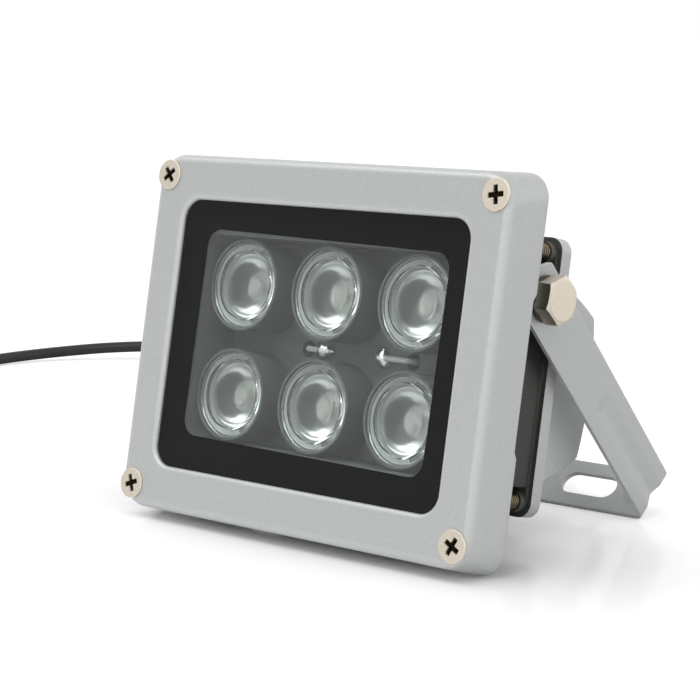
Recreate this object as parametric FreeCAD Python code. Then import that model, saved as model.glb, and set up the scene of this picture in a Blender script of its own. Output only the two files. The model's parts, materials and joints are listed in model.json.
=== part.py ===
import FreeCAD, Part
import math
import os

from FreeCAD import Placement, Rotation, Vector

# LED floodlight on a U bracket, standing on the rear rim of its bezel and on its bracket.
# Millimetres. Every piece of the head is drawn in the head's own frame: X across, Y from
# the bezel's front face towards the rear, Z up, with the origin in the middle of that face.
# The head is then leaned back and set on the floor, with Z up and the floor at Z = 0.

# Front bezel, a die-cast frame
BEZEL_WIDTH = 111.2          # over the rear rim
BEZEL_HEIGHT = 87.5
BEZEL_DEPTH = 11.6
BEZEL_DRAFT = 6.3            # degrees, the walls open towards the rear
BEZEL_FRONT_CORNER = 7.4
BEZEL_REAR_CORNER = 6.0
BEZEL_EDGE = 2.1             # rounding of the front edge
BEZEL_WALL = 2.6             # skirt at the rear rim
RIM_RELIEF = 1.0             # bevel along the middle of each side of the rear rim
RIM_RELIEF_WIDE = 38.0       # its length on the long sides
RIM_RELIEF_HIGH = 34.0       # and on the short sides

# Window in the bezel
FRAME_SIDE = 11.2            # bezel's width left and right of the window
FRAME_TOP = 11.7             # and above and below it
WINDOW_CORNER = 5.0
WINDOW_BEVEL = 1.5
WINDOW_BEVEL_DEPTH = 0.8
LIP = 1.2                    # metal in front of the glass

# Glass and its seal
GLASS_THICK = 3.0
GLASS_LAP = 2.4              # how far the glass reaches under the lip
GLASS_PLAY = 0.3
SEAL_THICK = 1.0
SEAL_WIDTH = 3.2

# Lamp body, a black casting behind the glass
SKIRT_PLAY = 0.3             # between body flange and bezel skirt
FLANGE_REAR = 13.6           # Y of the flange's rear face
NECK_REAR = 20.0             # Y where the corner notches start
BLOCK_REAR = 38.1
BLOCK_INSET = 1.0            # block and body seal inside the driver housing's flange
NECK_STEP = 1.8              # the neck stands out this far past the block
FLOOR_THICK = 5.4
CAVITY_PLAY = 0.4            # lamp cavity round the lens holders
CAVITY_WALL = 2.5            # at least this much round the lamp cavity
CAVITY_CORNER = 4.0
POCKET_WALL = 2.7            # between the rear pocket and a pivot bolt's tip
NOTCH_PLAY = 1.4             # between a corner notch and its screw
NOTCH_WALL = 3.1             # between a notch and the rear pocket
BOSS_RADIUS = 6.6

# Light unit
LED_COLUMNS = 3
LED_ROWS = 2
LED_PITCH_X = 26.8
LED_PITCH_Z = 26.06
LENS_FRONT = 7.2             # Y of the lens's front rim
LENS_RADIUS = 10.1
LENS_RIM = 1.4
LENS_FACE_RADIUS = 7.65
LENS_FACE_DEPTH = 2.0        # optical face below the rim
LENS_FOOT_RADIUS = 4.4
LENS_FOOT_GAP = 0.2          # between the lens's foot and the LED's base
LENS_FACE_SLOPE = 0.5        # width of the step from the face up to the rim
LENS_BOWL_TOP = 0.9          # bowl's top past the face's radius
LENS_BOWL_BULGE = 0.7        # the bowl bows out by this much from a cone
LENS_SOCKET_PLAY = 0.4       # socket in the foot round the LED's dome
HOLDER_WALL = 0.65
HOLDER_PROUD = 0.3           # holder's rim in front of the lens
HOLDER_PLAY = 0.15
HOLDER_FLOOR = 1.0
HOLDER_SHELF = 0.6           # the rim rests on a shelf this wide
HOLDER_BASE_PLAY = 0.5       # holder's hole round the LED's base
BOARD_FRONT = 17.0
BOARD_THICK = 1.6
BOARD_PLAY = 0.5
LED_BASE_RADIUS = 3.9
LED_BASE_HIGH = 1.6
LED_DOME_RADIUS = 2.6
LEAD_HOLE_RADIUS = 2.0
LEAD_RADIUS = 0.7
LEAD_BEND = 1.6
LEAD_LIFT = 0.3              # between the wires and the board
LEAD_TAIL = 6.0              # wire behind the body's floor
SOLDER_RADIUS = 1.5
SOLDER_X = (-7.0, 11.0)
LEAD_HOLE_X = (-12.5, 20.0)

# Driver housing, a die-cast cover behind the body
BODY_SEAL_THICK = 1.0
HOUSING_WIDTH = 80.0
HOUSING_HEIGHT = 64.4
HOUSING_CORNER = 3.5
HOUSING_FLANGE = 3.5
DOME_INSET_SIDE = 3.0        # from the flange's edge to the dome
DOME_INSET_TOP = 8.0
DOME_DROP = 1.2              # the dome's middle below the flange's
DOME_DEPTH = 20.7
DOME_SIDE_TAPER = 5.4        # degrees
DOME_CORNER_DEPTH = 18.7     # where the sloped roof meets the arched rear
DOME_CORNER_DROP = 7.5       # roof's fall from the flange to that corner
DOME_ROOF_BULGE = 0.75       # the roof bows out by this much from a plane
DOME_WALL = 2.2
DOME_EDGE = 0.8
DOME_CORNER_EDGE = 1.2
DRIVER_POST_RADIUS = 2.5
DRIVER_POST_INSET = (4.0, 4.5)   # from the board's edges
DRIVER_BOARD_PLAY = 4.8      # between the board's ends and the dome's inner sides
DRIVER_BOARD_HEIGHT = 26.0
DRIVER_BOARD_FRONT = 46.0
DRIVER_BOARD_THICK = 1.6
DRIVER_BOARD_CORNER = 1.0
GLAND_PAD_RADIUS = 8.2       # flat pad under the gland
DRIVER_COIL = (4.5, 5.5)     # radius and height
DRIVER_COIL_PLACE = (-14.0, -2.0)
CAPACITOR = (3.2, 8.0)
CAPACITOR_PLACE = (14.0, -3.0)
CHIP = (6.0, 1.6, 5.0)       # width, height off the board, length

# Screws
THREAD_RADIUS = 2.0          # M4
THREAD_PLAY = 0.02           # between a thread and its tapped hole
CLEARANCE = 0.25             # round a screw in a plain hole
BEZEL_SCREW_SIDE = 5.16      # from the bezel's sides
BEZEL_SCREW_TOP = 6.28       # from its top and bottom
BEZEL_SCREW_LENGTH = 12.0
SCREW_HEAD_RADIUS = 3.65
SCREW_HEAD_PROUD = 0.5
SCREW_CONE = 1.65
RECESS_LENGTH = 4.3
RECESS_WIDTH = 1.0
RECESS_DEPTH = 1.7
RECESS_TAPER = 0.35          # the recess's floor as a share of its length
SCREW_EDGE = 0.25            # bevel of a countersunk head and of its tip
BEZEL_SCREW_TURNS = (38.0, 8.0, 20.0, 62.0)
HOUSING_SCREW_SIDE = 3.5     # from the housing's sides
HOUSING_SCREW_TOP = 3.7      # from its top and bottom
HOUSING_SCREW_LENGTH = 33.0
HOUSING_SCREW_SEAT = 9.0     # Y of the counterbore's floor in the body's front
COUNTERBORE_PLAY = 0.15
HOUSING_SCREW_TURN = 45.0
PAN_EDGE = 0.5               # bevel of a pan head
HOUSING_HEAD_RADIUS = 3.3
HOUSING_HEAD_HIGH = 2.4
COLLAR_RADIUS = 2.5          # seal collar round each housing screw
COLLAR_HIGH = 1.5

# Pivot of the bracket
PIVOT_Y = 30.2
PIVOT_DROP = 10.8            # below the upper housing screws
BOLT_RADIUS = 3.0            # M6
BOLT_LENGTH = 16.0
BOLT_HEAD_FLATS = 10.0
BOLT_HEAD_HIGH = 4.0
BOLT_TURN = 25.0             # degrees from +Y to the head's first corner
BOLT_BEVEL = 3.2             # height over which a cone cuts the head's corners
BOLT_BEVEL_ANGLE = 45.0
BOLT_BEVEL_FACE = 0.1        # the cone's top inside the hexagon's flats
WASHER_THICK = 1.2
WASHER_RADIUS = 5.4
WASHER_SPLIT = 0.8
PIVOT_PLAY = 0.05            # between the body's boss and the leg
HINGE_PLAY = 0.1             # round the bolt in the leg

# Bracket, folded from one strip
SHEET = 1.2
BRACKET_GAP = 2.3            # between a leg and the housing's flange
LEG_REACH = 69.2             # pivot to the strap's outer face
LEG_END = 7.6                # leg beyond the pivot
LEG_END_WIDTH = 14.4
LEG_END_FLAT = 5.0           # end edge between the cut corners
LEG_END_CUT = 3.1            # length of a cut corner along the leg
STRAP_WIDTH = 13.9
BEND_INNER = 1.3
SLOT_LENGTH = 16.0
SLOT_WIDTH = 6.5
SLOT_X = 23.8
STRAP_HOLE_RADIUS = 4.2
RIB_HALF_WIDTH = 3.0
RIB_DEPTH = 0.9
RIB_START = 33.6             # from the pivot down the leg
RIB_SLOT_GAP = 3.5           # between the rib's tip and the slot
RIB_CUTTER_LIFT = 0.5        # the groove's cutter past the outer face

# Cable gland and lead
GLAND_Z = 6.0
GLAND_FLATS = 12.0
GLAND_HEX_HIGH = 4.0
GLAND_THREAD_RADIUS = 4.0
GLAND_NUT_RADIUS = 5.6
GLAND_NUT_LENGTH = 9.0
GLAND_NUT_GRIP = 0.55        # share of the nut's length with flats
GLAND_NUT_GRIP_PROUD = 0.5
GLAND_NUT_SHOULDER = (5.5, 7.4)  # where the nut's dome starts and bends
GLAND_NUT_BEVEL = 0.6
GLAND_NUT_MOUTH = 3.4
GLAND_BORE = 2.8             # round the seal
LOCKNUT_FLATS = 11.0
LOCKNUT_HIGH = 2.6
CORD_RADIUS = 1.9
TAIL_INSIDE = 6.0            # jacket inside the housing

# Stance
LEAN = 10.58                 # degrees, the head leans back

# The lead's route on the floor, from the gland's mouth to the coil
CORD_RUN_OUT = 44.0
CORD_ROUTE = (
    (-33.0, 114.0, 18.0),
    (-80.0, 138.0, 7.6),
    (-133.0, 152.0, 3.6),
    (-184.0, 157.0, 3.4),
    (-224.0, 149.0, 5.0),
    (-251.0, 132.0, 4.6),
    (-269.5, 109.0, 2.6),
    (-273.2, 83.0, 1.9),
    (-273.4, 61.0, 1.9),
)
COIL_X = -299.0
COIL_Y = 60.0
COIL_MIDDLE_RADIUS = 21.8
COIL_COLUMNS = 3
COIL_LAYERS = 2
PLUG_RADIUS = 4.9
PLUG_LENGTH = 18.0
PLUG_RELIEF = 11.0
PLUG_RELIEF_WALL = 0.4       # relief round the cord at its thin end
PLUG_SHOULDER = 1.2          # step from the relief to the grip
PLUG_BEVEL = 1.0
PLUG_LEAD = 18.5             # lead between the coil's last turn and the plug
BARREL_RADIUS = 2.75
BARREL_BORE = 1.05
BARREL_LENGTH = 9.5

BACK = Vector(0, 1, 0)
RIGHT = Vector(1, 0, 0)
UP = Vector(0, 0, 1)


def rounded_outline(width, height, corner, y):
    """Rectangle with round corners in the plane Y = y, centred on X and Z."""
    x = width / 2
    z = height / 2
    k = corner * (1 - math.sqrt(0.5))
    edges = []
    corners = ((x, z, 1, 1), (-x, z, -1, 1), (-x, -z, -1, -1), (x, -z, 1, -1))
    for index, (cx, cz, sx, sz) in enumerate(corners):
        side = Vector(cx, y, cz - sz * corner)
        level = Vector(cx - sx * corner, y, cz)
        middle = Vector(cx - sx * k, y, cz - sz * k)
        start, end = (side, level) if index % 2 == 0 else (level, side)
        edges.append(Part.Arc(start, middle, end).toShape())
        nx, nz, tx, tz = corners[(index + 1) % 4]
        if index % 2 == 0:
            following = Vector(nx - tx * corner, y, nz)
        else:
            following = Vector(nx, y, nz - tz * corner)
        edges.append(Part.makeLine(end, following))
    return Part.Wire(edges)


def plate(width, height, corner, front, rear):
    """Flat plate with round corners between the planes Y = front and Y = rear."""
    face = Part.Face(rounded_outline(width, height, corner, front))
    return face.extrude(Vector(0, rear - front, 0))


def ring_plate(width, height, corner, opening, front, rear):
    """Plate with a concentric opening of (width, height, corner)."""
    cutter = plate(*opening, front - 1, rear + 1)
    return plate(width, height, corner, front, rear).cut(cutter)


def taper(front, rear, y_front, y_rear):
    """Straight-walled loft between two rounded outlines of (width, height, corner)."""
    wires = [rounded_outline(*front, y_front), rounded_outline(*rear, y_rear)]
    return Part.makeLoft(wires, True, True)


def rod(radius, start, direction, length):
    return Part.makeCylinder(radius, length, start, direction)


def turned(profile, centre):
    """Solid turned about the Y axis through centre, from (radius, y) points in order."""
    points = [Vector(radius, y, 0) for radius, y in profile]
    face = Part.Face(Part.makePolygon(points + [points[0]]))
    solid = face.revolve(Vector(0, 0, 0), BACK, 360)
    solid.translate(Vector(centre[0], 0, centre[1]))
    return solid


def hexagon(flats, start, direction, length, turn=0.0):
    """Hexagonal prism along X or Y; turn is measured from the next axis."""
    across = flats / math.sqrt(3)
    first = BACK if direction.x else RIGHT
    second = direction.cross(first)
    points = []
    for step in range(7):
        angle = math.radians(turn + 60 * step)
        points.append(start + first * (across * math.cos(angle)) + second * (across * math.sin(angle)))
    return Part.Face(Part.makePolygon(points)).extrude(direction * length)


def corner_places(x, z):
    return [(sx * x, sz * z) for sz in (1, -1) for sx in (-1, 1)]


def led_places():
    places = []
    for row in range(LED_ROWS):
        z = LED_PITCH_Z * ((LED_ROWS - 1) / 2 - row)
        for column in range(LED_COLUMNS):
            places.append((LED_PITCH_X * (column - (LED_COLUMNS - 1) / 2), z))
    return places


# Sizes that follow from the ones above
DRAFT_STEP = 2 * BEZEL_DEPTH * math.tan(math.radians(BEZEL_DRAFT))
WINDOW_WIDTH = BEZEL_WIDTH - 2 * FRAME_SIDE
WINDOW_HEIGHT = BEZEL_HEIGHT - 2 * FRAME_TOP
BEZEL_SCREW_X = BEZEL_WIDTH / 2 - BEZEL_SCREW_SIDE
BEZEL_SCREW_Z = BEZEL_HEIGHT / 2 - BEZEL_SCREW_TOP
GLASS_REAR = LIP + GLASS_THICK
BODY_FRONT = GLASS_REAR + SEAL_THICK
GLASS_WIDTH = WINDOW_WIDTH + 2 * GLASS_LAP
GLASS_HEIGHT = WINDOW_HEIGHT + 2 * GLASS_LAP
GLASS_CORNER = WINDOW_CORNER + GLASS_LAP / 2
SKIRT_WIDTH = BEZEL_WIDTH - 2 * BEZEL_WALL
SKIRT_HEIGHT = BEZEL_HEIGHT - 2 * BEZEL_WALL
SKIRT_CORNER = BEZEL_REAR_CORNER - BEZEL_WALL / 2
HOLDER_RADIUS = LENS_RADIUS + HOLDER_PLAY + HOLDER_WALL
CAVITY_WIDTH = LED_PITCH_X * (LED_COLUMNS - 1) + 2 * (HOLDER_RADIUS + CAVITY_PLAY)
CAVITY_HEIGHT = LED_PITCH_Z * (LED_ROWS - 1) + 2 * (HOLDER_RADIUS + CAVITY_PLAY)
BOARD_REAR = BOARD_FRONT + BOARD_THICK
FLOOR_REAR = BOARD_REAR + FLOOR_THICK
HOUSING_FRONT = BLOCK_REAR + BODY_SEAL_THICK
DOME_FRONT = HOUSING_FRONT + HOUSING_FLANGE
DOME_REAR = DOME_FRONT + DOME_DEPTH
BLOCK_WIDTH = HOUSING_WIDTH - 2 * BLOCK_INSET
BLOCK_HEIGHT = HOUSING_HEIGHT - 2 * BLOCK_INSET
NECK_WIDTH = max(BLOCK_WIDTH + 2 * NECK_STEP, CAVITY_WIDTH + 2 * CAVITY_WALL)
NECK_HEIGHT = max(BLOCK_HEIGHT + 2 * NECK_STEP, CAVITY_HEIGHT + 2 * CAVITY_WALL)
HOUSING_SCREW_X = HOUSING_WIDTH / 2 - HOUSING_SCREW_SIDE
HOUSING_SCREW_Z = HOUSING_HEIGHT / 2 - HOUSING_SCREW_TOP
NOTCH_X = HOUSING_SCREW_X - THREAD_RADIUS - NOTCH_PLAY
NOTCH_Z = HOUSING_SCREW_Z - THREAD_RADIUS - NOTCH_PLAY
PIVOT_Z = HOUSING_SCREW_Z - PIVOT_DROP
BRACKET_HALF_WIDTH = HOUSING_WIDTH / 2 + BRACKET_GAP + SHEET
BOLT_SEAT = BRACKET_HALF_WIDTH + WASHER_THICK
REAR_POCKET_WIDTH = 2 * (BOLT_SEAT - BOLT_LENGTH - POCKET_WALL)
REAR_POCKET_HEIGHT = 2 * (NOTCH_Z - NOTCH_WALL)
DOME_HALF_WIDTH = HOUSING_WIDTH / 2 - DOME_INSET_SIDE
DOME_HALF_HEIGHT = HOUSING_HEIGHT / 2 - DOME_INSET_TOP
DRIVER_BOARD_WIDTH = 2 * (DOME_HALF_WIDTH - DOME_WALL - DRIVER_BOARD_PLAY)
DRIVER_POST_X = DRIVER_BOARD_WIDTH / 2 - DRIVER_POST_INSET[0]
DRIVER_POST_Z = DRIVER_BOARD_HEIGHT / 2 - DRIVER_POST_INSET[1]
BOSS_FACE = BRACKET_HALF_WIDTH - SHEET - PIVOT_PLAY
BEND_OUTER = BEND_INNER + SHEET
GLAND_FACE = DOME_REAR
GLAND_NUT_START = GLAND_FACE + GLAND_HEX_HIGH
GLAND_MOUTH = GLAND_NUT_START + GLAND_NUT_LENGTH


def front_bezel():
    front = (BEZEL_WIDTH - DRAFT_STEP, BEZEL_HEIGHT - DRAFT_STEP, BEZEL_FRONT_CORNER)
    rear = (BEZEL_WIDTH, BEZEL_HEIGHT, BEZEL_REAR_CORNER)
    body = taper(front, rear, 0, BEZEL_DEPTH)
    edges = [edge for edge in body.Edges if edge.BoundBox.YMax < 0.01]
    body = body.makeFillet(BEZEL_EDGE, edges)
    body = body.cut(plate(SKIRT_WIDTH, SKIRT_HEIGHT, SKIRT_CORNER, BODY_FRONT, BEZEL_DEPTH + 1))
    body = body.cut(plate(GLASS_WIDTH + 2 * GLASS_PLAY, GLASS_HEIGHT + 2 * GLASS_PLAY,
                          GLASS_CORNER, LIP, BODY_FRONT + 1))
    body = body.cut(plate(WINDOW_WIDTH, WINDOW_HEIGHT, WINDOW_CORNER, -1, LIP + 1))
    wide = (WINDOW_WIDTH + 2 * WINDOW_BEVEL, WINDOW_HEIGHT + 2 * WINDOW_BEVEL,
            WINDOW_CORNER + WINDOW_BEVEL)
    body = body.cut(taper(wide, (WINDOW_WIDTH, WINDOW_HEIGHT, WINDOW_CORNER), 0,
                          WINDOW_BEVEL_DEPTH))
    for x, z in corner_places(BEZEL_SCREW_X, BEZEL_SCREW_Z):
        body = body.cut(rod(THREAD_RADIUS + CLEARANCE, Vector(x, -1, z), BACK, BODY_FRONT + 2))
        seat = Part.makeCone(SCREW_HEAD_RADIUS + THREAD_PLAY, THREAD_RADIUS + THREAD_PLAY,
                             SCREW_CONE, Vector(x, 0, z), BACK)
        body = body.cut(seat)
    return rim_relief(body)


def rim_relief(body):
    """Bevel the rear rim's outer edge along the middle of each side."""
    for half, length, turn in ((BEZEL_HEIGHT / 2, RIM_RELIEF_WIDE, 0),
                               (BEZEL_WIDTH / 2, RIM_RELIEF_HIGH, 90),
                               (BEZEL_HEIGHT / 2, RIM_RELIEF_WIDE, 180),
                               (BEZEL_WIDTH / 2, RIM_RELIEF_HIGH, 270)):
        points = [Vector(-length / 2, BEZEL_DEPTH - RIM_RELIEF, half + RIM_RELIEF / 2),
                  Vector(-length / 2, BEZEL_DEPTH + RIM_RELIEF / 2, half + RIM_RELIEF / 2),
                  Vector(-length / 2, BEZEL_DEPTH + RIM_RELIEF / 2, half - RIM_RELIEF)]
        wedge = Part.Face(Part.makePolygon(points + [points[0]])).extrude(RIGHT * length)
        wedge.rotate(Vector(0, 0, 0), BACK, turn)
        body = body.cut(wedge)
    return body


def front_glass():
    return plate(GLASS_WIDTH, GLASS_HEIGHT, GLASS_CORNER, LIP, GLASS_REAR)


def glass_seal():
    opening = (GLASS_WIDTH - 2 * SEAL_WIDTH, GLASS_HEIGHT - 2 * SEAL_WIDTH, CAVITY_CORNER)
    return ring_plate(GLASS_WIDTH, GLASS_HEIGHT, GLASS_CORNER, opening, GLASS_REAR, BODY_FRONT)


def lamp_body():
    flange = plate(SKIRT_WIDTH - 2 * SKIRT_PLAY, SKIRT_HEIGHT - 2 * SKIRT_PLAY,
                   SKIRT_CORNER, BODY_FRONT, FLANGE_REAR)
    neck = plate(NECK_WIDTH, NECK_HEIGHT, HOUSING_CORNER, FLANGE_REAR - 1, NECK_REAR)
    block = plate(BLOCK_WIDTH, BLOCK_HEIGHT, HOUSING_CORNER, NECK_REAR - 1, BLOCK_REAR)
    for x, z in corner_places(HOUSING_SCREW_X, HOUSING_SCREW_Z):
        box = Part.makeBox(BLOCK_WIDTH, BLOCK_REAR, BLOCK_HEIGHT)
        box.translate(Vector(NOTCH_X if x > 0 else -NOTCH_X - BLOCK_WIDTH, NECK_REAR,
                             NOTCH_Z if z > 0 else -NOTCH_Z - BLOCK_HEIGHT))
        block = block.cut(box)
    bosses = rod(BOSS_RADIUS, Vector(-BOSS_FACE, PIVOT_Y, PIVOT_Z), RIGHT, 2 * BOSS_FACE)
    body = flange.fuse(neck).fuse(block).fuse(bosses).removeSplitter()
    body = body.cut(plate(CAVITY_WIDTH, CAVITY_HEIGHT, CAVITY_CORNER, 0, BOARD_REAR))
    body = body.cut(plate(REAR_POCKET_WIDTH, REAR_POCKET_HEIGHT, CAVITY_CORNER, FLOOR_REAR,
                          BLOCK_REAR + 1))
    for x, z in corner_places(BEZEL_SCREW_X, BEZEL_SCREW_Z):
        hole = rod(THREAD_RADIUS + THREAD_PLAY, Vector(x, 0, z), BACK, FLANGE_REAR + 1)
        body = body.cut(hole)
    for x, z in corner_places(HOUSING_SCREW_X, HOUSING_SCREW_Z):
        body = body.cut(rod(THREAD_RADIUS + CLEARANCE, Vector(x, 0, z), BACK, NECK_REAR + 1))
        body = body.cut(rod(HOUSING_HEAD_RADIUS + COUNTERBORE_PLAY, Vector(x, 0, z), BACK,
                            HOUSING_SCREW_SEAT))
    tapped = rod(BOLT_RADIUS + THREAD_PLAY, Vector(-BOSS_FACE - 1, PIVOT_Y, PIVOT_Z), RIGHT,
                 2 * BOSS_FACE + 2)
    body = body.cut(tapped)
    for x in LEAD_HOLE_X:
        body = body.cut(rod(LEAD_HOLE_RADIUS, Vector(x, BOARD_REAR - 1, 0), BACK, FLOOR_THICK + 2))
    return body


def led_board():
    board = plate(CAVITY_WIDTH - 2 * BOARD_PLAY, CAVITY_HEIGHT - 2 * BOARD_PLAY, CAVITY_CORNER,
                  BOARD_FRONT, BOARD_REAR)
    for x in LEAD_HOLE_X:
        board = board.cut(rod(LEAD_HOLE_RADIUS, Vector(x, BOARD_FRONT - 1, 0), BACK,
                              BOARD_THICK + 2))
    return board


def led(place):
    """Emitter with a round base and a clear dome."""
    x, z = place
    top = BOARD_FRONT - LED_BASE_HIGH
    base = rod(LED_BASE_RADIUS, Vector(x, top, z), BACK, LED_BASE_HIGH)
    dome = Part.makeSphere(LED_DOME_RADIUS, Vector(x, top, z), Vector(0, -1, 0), 0, 90, 360)
    return base.fuse(dome)


def lens(place):
    """Collimator: a rim, an optical face below it and a bowl that narrows to the LED.

    The bowl's curve is drawn as two cones, which meet on the bulge.
    """
    rim_rear = LENS_FRONT + LENS_RIM
    face = LENS_FRONT + LENS_FACE_DEPTH
    foot = BOARD_FRONT - LED_BASE_HIGH - LENS_FOOT_GAP
    bowl_top = LENS_FACE_RADIUS + LENS_BOWL_TOP
    socket = LED_DOME_RADIUS + LENS_SOCKET_PLAY
    chord = Vector(LENS_FOOT_RADIUS - bowl_top, foot - rim_rear, 0)
    outward = Vector(chord.y, -chord.x, 0).normalize()
    middle = Vector(bowl_top, rim_rear, 0) + chord * 0.5 + outward * LENS_BOWL_BULGE
    profile = (
        (0, face), (LENS_FACE_RADIUS, face), (LENS_FACE_RADIUS + LENS_FACE_SLOPE, LENS_FRONT),
        (LENS_RADIUS, LENS_FRONT), (LENS_RADIUS, rim_rear), (bowl_top, rim_rear),
        (middle.x, middle.y), (LENS_FOOT_RADIUS, foot), (socket, foot),
        (socket, foot - LED_DOME_RADIUS), (0, foot - LED_DOME_RADIUS - LENS_SOCKET_PLAY))
    return turned(profile, place)


def lens_holder(place):
    """Black cup that carries the lens by its rim and stands on the board."""
    rim = LENS_FRONT + LENS_RIM
    mouth = LENS_RADIUS + HOLDER_PLAY
    shelf = LENS_RADIUS - HOLDER_SHELF
    hole = LED_BASE_RADIUS + HOLDER_BASE_PLAY
    profile = (
        (HOLDER_RADIUS, LENS_FRONT - HOLDER_PROUD), (HOLDER_RADIUS, BOARD_FRONT),
        (hole, BOARD_FRONT), (hole, BOARD_FRONT - HOLDER_FLOOR),
        (shelf, BOARD_FRONT - HOLDER_FLOOR), (shelf, rim),
        (mouth, rim), (mouth, LENS_FRONT - HOLDER_PROUD))
    return turned(profile, place)


def solder_joints():
    """Two solder domes on the board's front, in line between the rows of lenses."""
    joints = []
    for x in SOLDER_X:
        joints.append(Part.makeSphere(SOLDER_RADIUS, Vector(x, BOARD_FRONT, 0), Vector(0, -1, 0),
                                      0, 90, 360))
    return Part.makeCompound(joints)


def led_leads():
    """A wire from each board hole, bent over to its solder joint."""
    leads = []
    for hole_x, joint_x in zip(LEAD_HOLE_X, SOLDER_X):
        side = 1 if joint_x > hole_x else -1
        level = BOARD_FRONT - LEAD_RADIUS - LEAD_LIFT
        start = Vector(hole_x, FLOOR_REAR + LEAD_TAIL, 0)
        turn = Vector(hole_x, level + LEAD_BEND, 0)
        after = Vector(hole_x + side * LEAD_BEND, level, 0)
        end = Vector(joint_x - side * SOLDER_RADIUS * 0.9, level, 0)
        k = LEAD_BEND * (1 - math.sqrt(0.5))
        middle = Vector(hole_x + side * k, level + k, 0)
        path = Part.Wire([Part.makeLine(start, turn), Part.Arc(turn, middle, after).toShape(),
                          Part.makeLine(after, end)])
        section = Part.Wire(Part.makeCircle(LEAD_RADIUS, start, BACK))
        leads.append(path.makePipeShell([section], True, False))
    return Part.makeCompound(leads)


def body_seal():
    """Flat seal between body and driver housing, with a collar round each screw."""
    seal = ring_plate(BLOCK_WIDTH, BLOCK_HEIGHT, HOUSING_CORNER,
                      (REAR_POCKET_WIDTH, REAR_POCKET_HEIGHT, CAVITY_CORNER),
                      BLOCK_REAR, HOUSING_FRONT)
    for x, z in corner_places(HOUSING_SCREW_X, HOUSING_SCREW_Z):
        collar = rod(COLLAR_RADIUS, Vector(x, BLOCK_REAR - COLLAR_HIGH, z), BACK, COLLAR_HIGH + 0.5)
        seal = seal.fuse(collar)
    for x, z in corner_places(HOUSING_SCREW_X, HOUSING_SCREW_Z):
        seal = seal.cut(rod(THREAD_RADIUS + THREAD_PLAY, Vector(x, 0, z), BACK, HOUSING_FRONT + 1))
    return seal.removeSplitter()


def dome(inset):
    """Housing dome as two crossed profiles: bowed roof and floor with an arched rear, and
    tapered sides. An inset gives the hollow inside it."""
    front = DOME_FRONT - (1 if inset else 0)
    half = DOME_HALF_HEIGHT - inset
    corner_y = DOME_FRONT + DOME_CORNER_DEPTH - inset
    corner_z = half - DOME_CORNER_DROP + inset / 2
    rear = DOME_REAR - inset
    roof = Vector(0, corner_y - front, corner_z - half)
    outward = Vector(0, -roof.z, roof.y).normalize() * DOME_ROOF_BULGE
    middle = Vector(0, front, half) + roof * 0.5 + outward
    low = Vector(0, middle.y, -middle.z)
    upper = Vector(0, corner_y, corner_z)
    lower = Vector(0, corner_y, -corner_z)
    start = Vector(0, front, half)
    end = Vector(0, front, -half)
    edges = [Part.Arc(start, middle, upper).toShape(),
             Part.Arc(upper, Vector(0, rear, 0), lower).toShape(),
             Part.Arc(lower, low, end).toShape(),
             Part.makeLine(end, start)]
    across = Part.Face(Part.Wire(edges)).extrude(RIGHT * (2 * DOME_HALF_WIDTH + 2))
    across.translate(Vector(-DOME_HALF_WIDTH - 1, 0, 0))
    wide = DOME_HALF_WIDTH - inset
    narrow = wide - DOME_DEPTH * math.tan(math.radians(DOME_SIDE_TAPER))
    points = [Vector(-wide, front, 0), Vector(wide, front, 0), Vector(narrow, rear + 1, 0),
              Vector(-narrow, rear + 1, 0)]
    plan = Part.Face(Part.makePolygon(points + [points[0]])).extrude(UP * (2 * DOME_HALF_HEIGHT + 2))
    plan.translate(Vector(0, 0, -DOME_HALF_HEIGHT - 1))
    form = across.common(plan)
    form.translate(UP * -DOME_DROP)
    return form


def soft_dome():
    """The dome's outside, its corners rounded across and then along the sides."""
    form = dome(0)
    rear = [edge for edge in form.Edges if edge.BoundBox.YMin > DOME_FRONT + 1]
    ridges = [edge for edge in rear if edge.BoundBox.XLength > DOME_HALF_WIDTH]
    form = form.makeFillet(DOME_CORNER_EDGE, ridges)
    sides = [edge for edge in form.Edges if edge.BoundBox.YMin > DOME_FRONT - 0.01
             and 0.01 < edge.BoundBox.XLength < DOME_HALF_WIDTH]
    return form.makeFillet(DOME_EDGE, sides)


def driver_housing():
    flange = plate(HOUSING_WIDTH, HOUSING_HEIGHT, HOUSING_CORNER, HOUSING_FRONT, DOME_FRONT)
    opening = Part.makeBox(2 * (DOME_HALF_WIDTH - DOME_WALL), HOUSING_FLANGE + 2,
                           2 * (DOME_HALF_HEIGHT - DOME_WALL))
    opening.translate(Vector(-DOME_HALF_WIDTH + DOME_WALL, HOUSING_FRONT - 1,
                             -DOME_HALF_HEIGHT + DOME_WALL - DOME_DROP))
    housing = flange.fuse(soft_dome()).cut(dome(DOME_WALL)).cut(opening)
    inner = DOME_REAR - DOME_WALL
    housing = housing.fuse(rod(GLAND_PAD_RADIUS, Vector(0, inner, GLAND_Z), BACK, DOME_WALL))
    seat = rod(LOCKNUT_FLATS / math.sqrt(3) + CLEARANCE,
               Vector(0, inner - LOCKNUT_HIGH - 1, GLAND_Z), BACK, LOCKNUT_HIGH + 1)
    housing = housing.cut(seat)
    for x, z in corner_places(DRIVER_POST_X, DRIVER_POST_Z):
        start = DRIVER_BOARD_FRONT + DRIVER_BOARD_THICK
        housing = housing.fuse(rod(DRIVER_POST_RADIUS, Vector(x, start, z), BACK, inner - start))
    for x, z in corner_places(HOUSING_SCREW_X, HOUSING_SCREW_Z):
        housing = housing.cut(rod(THREAD_RADIUS + THREAD_PLAY, Vector(x, HOUSING_FRONT - 1, z),
                                  BACK, HOUSING_FLANGE + 2))
    hole = rod(GLAND_THREAD_RADIUS + THREAD_PLAY, Vector(0, inner - DOME_WALL, GLAND_Z),
               BACK, 3 * DOME_WALL)
    return housing.cut(hole)


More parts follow.
